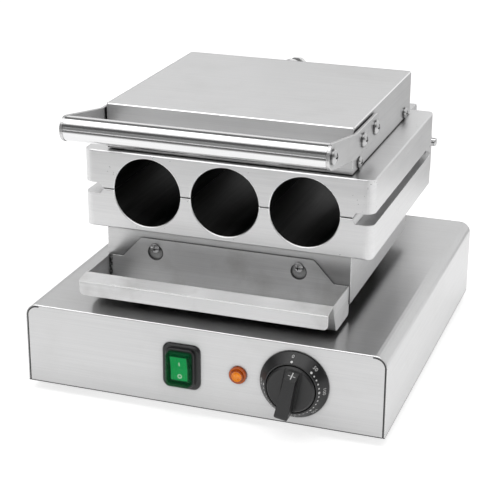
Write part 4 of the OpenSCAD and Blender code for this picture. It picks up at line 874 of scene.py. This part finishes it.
numbers = []
for k in range(LARGE_COUNT):
    bpy.ops.object.text_add()
    piece = bpy.context.object
    piece.name, text = f"number_{k}", piece.data
    text.body, text.size = str(NUMBER_STEP * k), NUMBER_HIGH * FONT_SIZE
    text.align_x, text.align_y = "CENTER", "CENTER"
    text.extrude, text.resolution_u = PRINT_THICK / 2, CURVE_STEPS
    apply_all(piece)
    piece.data.transform(Matrix.Rotation(radians(90), 4, "X"))
    middle_x, middle_z = on_dial(LARGE_ANGLE * k, NUMBER_CIRCLE)
    low = Matrix.Diagonal((1, 1, DIAL_SLOPE, 1))
    turn = Matrix.Rotation(radians(LARGE_ANGLE * k), 4, "Y") @ low
    piece.data.transform(Matrix.Translation((middle_x, 0, middle_z)) @ turn)
    lay(piece, ring_skin)
    numbers.append(piece)
bpy.ops.object.select_all(action="DESELECT")
for piece in numbers:
    piece.select_set(True)
bpy.context.view_layer.objects.active = numbers[0]
bpy.ops.object.join()
dial_numbers = bpy.context.object
dial_numbers.name = "dial_numbers"
own(dial_numbers, ink, "base")

# %% [markdown]
# ### Knob mark
# The knob has a short stroke over the end of its grip that points to the setting, and a thin
# line across it. Both run down over curved edges, so they are cut into short steps, and each
# step finds its own depth.

# %% Knob mark
KNOB_TURN = 10.0                        # the grip leans this far clockwise at rest
MARK_FROM, MARK_TO, MARK_WIDE, MARK_STEPS = 0.0133, 0.0162, 0.0008, 8
LINE_AT, LINE_LONG, LINE_WIDE = 0.0146, 0.0060, 0.00022

step = (MARK_TO - MARK_FROM) / MARK_STEPS
stripes = [bar(0, MARK_FROM + (k + 0.5) * step, MARK_WIDE, step) for k in range(MARK_STEPS)]
step = LINE_LONG / MARK_STEPS
for k in range(MARK_STEPS):
    along = (k + 0.5) * step - LINE_LONG / 2
    if abs(along) > MARK_WIDE / 2:
        stripes.append(bar(along, LINE_AT, step, LINE_WIDE))
knob_mark = plate("knob_mark", [turned(s, KNOB_TURN, dial_x, dial_z) for s in stripes])
lay(knob_mark, skin_of("thermostat_knob"))
own(knob_mark, ink, "knob")

# %% [markdown]
# ### Switch signs
# The rocker has a stroke for on and a ring for off, seen through the boot. They ride on the
# rocker, so they tip with it.

# %% Stroke and ring
STROKE_UP, RING_DOWN, SIGN_HIGH, SIGN_WIDE = 0.0042, 0.0070, 0.0034, 0.0008
RING_R, RING_STEPS = 0.0019, 24

rocker_skin = skin_of("switch_rocker")
stroke = plate("switch_stroke", [bar(rocker_x, rocker_z + STROKE_UP, SIGN_WIDE, SIGN_HIGH)])
lay(stroke, rocker_skin)
own(stroke, painted_glow_ink, "rocker")
outer, inner = (round_outline(rocker_x, rocker_z - RING_DOWN, r, RING_STEPS)
                for r in (RING_R, RING_R - SIGN_WIDE))
nexts = [(k + 1) % RING_STEPS for k in range(RING_STEPS)]
off_ring = plate("switch_ring", [[outer[k], outer[n], inner[n], inner[k]]
                                 for k, n in enumerate(nexts)])
lay(off_ring, rocker_skin)
own(off_ring, painted_glow_ink, "rocker")

# %% [markdown]
# ## A copy of the conduit
# The construction model holds the conduit as one stiff piece at rest. Here a copy of it, with
# its place baked into its points, stands in for it, and the original is hidden.

hose = bpy.data.objects.new("conduit_hose", nodes["conduit"].data.copy())
bpy.context.scene.collection.objects.link(hose)
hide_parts("conduit")
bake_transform(hose)
print(hose.name, "has", len(hose.data.vertices), "points")

# %% [markdown]
# ## Floor and surroundings
# The picture is a studio shot on white. The floor is pale and matt and takes the machine's
# shadow. To the camera it is lifted by a little light of its own, so that only the shadow
# shows. The surroundings are white to the camera, to mirrors and through clear pieces, and
# dimmer to matt surfaces. So the background is white without more light on the machine.

# %% Floor and surroundings
FLOOR_WIDE, FLOOR_CELLS, FLOOR_FLECK = 14.0, 3.0, 0.01
FLOOR_PALE, FLOOR_LIFT, WORLD_MATT = 0.8, 0.62, 0.55


def seen_directly(tree):
    path = put(tree, "ShaderNodeLightPath").outputs
    mirrored = maths(tree, "MAXIMUM", path["Is Glossy Ray"], path["Is Transmission Ray"])
    return maths(tree, "MAXIMUM", path["Is Camera Ray"], mirrored)


bpy.ops.mesh.primitive_plane_add(size=FLOOR_WIDE, location=(0, 0, 0))
floor = bpy.context.object
floor.name = "floor"
floor_look, tree, shader = finish("Pale floor")
pale = two_colours(tree, smudged(tree, FLOOR_CELLS), (FLOOR_PALE - FLOOR_FLECK,) * 3,
                   (FLOOR_PALE,) * 3)
settle(tree, shader, {
    "Base Color": pale, "Roughness": 0.9, "Specular IOR Level": 0.1,
    "Emission Color": (1, 1, 1, 1),
    "Emission Strength": both(tree, seen_directly(tree), FLOOR_LIFT)})
floor.data.materials.append(floor_look)

world = bpy.data.worlds.new("Studio")
bpy.context.scene.world = world
world.use_nodes = True
tree = world.node_tree
settle(tree, tree.nodes["Background"], {
    "Color": (1, 1, 1, 1), "Strength": spread(tree, seen_directly(tree), WORLD_MATT, 1.0)})
print("floor", FLOOR_WIDE, "m wide, and the world", world.name)

# %% [markdown]
# ## The lamp over the machine
# One large soft box hangs over the machine, a little in front of it. It gives the soft shadow
# and the white band along the handle. Its level is the brightness of its face, so its power
# grows with its size.

# %% Soft box
def soft_box(name, where, look_at, wide, high, level):
    data = bpy.data.lights.new(name, "AREA")
    data.shape, data.size, data.size_y = "RECTANGLE", wide, high
    data.energy = level * pi * wide * high
    lamp = bpy.data.objects.new(name, data)
    bpy.context.scene.collection.objects.link(lamp)
    back = Vector(where) - Vector(look_at)
    turn = back.to_track_quat("Z", "Y").to_matrix().to_4x4()
    lamp.matrix_world = Matrix.Translation(where) @ turn
    print(lamp.name, "gives", round(data.energy, 2), "W")


soft_box("over_box", where=(-0.1, -0.38, 1.75), look_at=(-0.1, -0.38, 0),
         wide=2.2, high=1.2, level=1.3)

# %% [markdown]
# ## Cards
# Polished metal shows what stands round it, so a studio shapes its reflections with cards.
# From the camera's place, fronts mirror the table in front, right sides mirror the table behind
# them, tops mirror what stands low behind, and round pieces mirror a bit of everything. Each
# card is seen only in reflections and throws no shadow.

# %% Tools for cards
CARD_CELLS, CARD_FLECK, CARD_LIFT = 1.5, 0.94, 0.003
CARD_FAR, CARD_HALF = 2.6, 2.4
HANDLE_AT = Vector((0, -0.164, 0.236))


def card(name, tone, corners):
    mesh = bpy.data.meshes.new(name)
    mesh.from_pydata(corners, [], [range(len(corners))])
    sheet = bpy.data.objects.new(name, mesh)
    bpy.context.scene.collection.objects.link(sheet)
    look, tree, shader = finish(name)
    grey = two_colours(tree, smudged(tree, CARD_CELLS), (tone * CARD_FLECK,) * 3, (tone,) * 3)
    settle(tree, shader, {"Base Color": grey, "Roughness": 0.9, "Specular IOR Level": 0.1})
    mesh.materials.append(look)
    for kind in ("camera", "diffuse", "transmission", "volume_scatter", "shadow"):
        setattr(sheet, "visible_" + kind, False)
    print("card:", name)


def card_between(name, tone, low, high):
    """A card across the whole width, from one elevation over the handle to another."""
    edges = [HANDLE_AT + CARD_FAR * Vector((0, -cos(radians(e)), sin(radians(e))))
             for e in (low, high)]
    across = ((-CARD_HALF, CARD_HALF), (CARD_HALF, -CARD_HALF))
    card(name, tone, [e + Vector((x, 0, 0)) for e, ends in zip(edges, across) for x in ends])


def card_on_table(name, tone, left, right, near, far):
    card(name, tone, [(left, near, CARD_LIFT), (right, near, CARD_LIFT),
                      (right, far, CARD_LIFT), (left, far, CARD_LIFT)])


def card_beside(name, tone, x, near, far, low, high):
    card(name, tone, [(x, near, low), (x, far, low), (x, far, high), (x, near, high)])


def card_behind(name, tone, left, right, y, high):
    card(name, tone, [(left, y, 0.0), (right, y, 0.0), (right, y, high), (left, y, high)])


# %% [markdown]
# ### Placing the cards
# The tones were found by comparing each face of the machine with the photograph: a face that
# came out too dark has a lighter card in the direction that it mirrors.

# %% Cards
card_on_table("table_end_left", 0.95, left=-3, right=-0.2, near=-0.63, far=-0.75)
card_on_table("table_end_right", 0.85, left=-0.2, right=3, near=-0.63, far=-0.75)
card_on_table("table_end_middle", 0.34, left=-3, right=3, near=-0.75, far=-1.1)
card_on_table("table_end", 0.15, left=-3, right=3, near=-1.1, far=-3.4)
card_on_table("back_right_card", 0.92, left=0.1, right=3, near=0.47, far=3)
card_beside("right_card", 0.3, x=2.4, near=-2.0, far=0.6, low=0.1, high=2.2)
card_beside("left_card", 0.2, x=-2.4, near=-2.0, far=0.5, low=0.0, high=1.5)
card_behind("back_low_card", 0.45, left=-0.2, right=0.0, y=0.6, high=0.33)
card_behind("back_low_left_card", 0.95, left=-1.5, right=-0.2, y=0.6, high=0.33)
card_between("front_card", 0.5, low=2, high=24)
card_between("front_high_card", 0.22, low=25, high=50)
card_between("back_high_card", 0.38, low=106, high=136)

# %% [markdown]
# ## Camera
# The camera stands to the right of the front and above it. Its place and lens were found by
# matching known corners of the machine with the photograph.

# %% Camera
AZIMUTH, ELEVATION, ROLL = radians(19.12), radians(21.19), radians(0.37)
DISTANCE, LENS_PIXELS, PICTURE_PIXELS, SENSOR = 1.27699, 1455.43, 500.0, 36.0
LOOK_AT = Vector((0.0, -0.0075, 0.128))
SHIFT_RIGHT, SHIFT_UP = -0.00941, -0.03378

back = Vector((sin(AZIMUTH) * cos(ELEVATION), -cos(AZIMUTH) * cos(ELEVATION), sin(ELEVATION)))
level_right = Vector((cos(AZIMUTH), sin(AZIMUTH), 0.0))
level_up = back.cross(level_right)
right = level_right * cos(ROLL) + level_up * sin(ROLL)
up = level_up * cos(ROLL) - level_right * sin(ROLL)
spot = LOOK_AT + right * SHIFT_RIGHT + up * SHIFT_UP + back * DISTANCE
camera_data = bpy.data.cameras.new("camera")
camera_data.sensor_width = SENSOR
camera_data.lens = LENS_PIXELS * SENSOR / PICTURE_PIXELS
camera = bpy.data.objects.new("camera", camera_data)
bpy.context.scene.collection.objects.link(camera)
camera.matrix_world = Matrix((
    (right.x, up.x, back.x, spot.x), (right.y, up.y, back.y, spot.y),
    (right.z, up.z, back.z, spot.z), (0, 0, 0, 1)))
bpy.context.scene.camera = camera
bpy.context.scene.view_settings.view_transform = "Standard"
print("camera at", [round(v, 3) for v in spot])
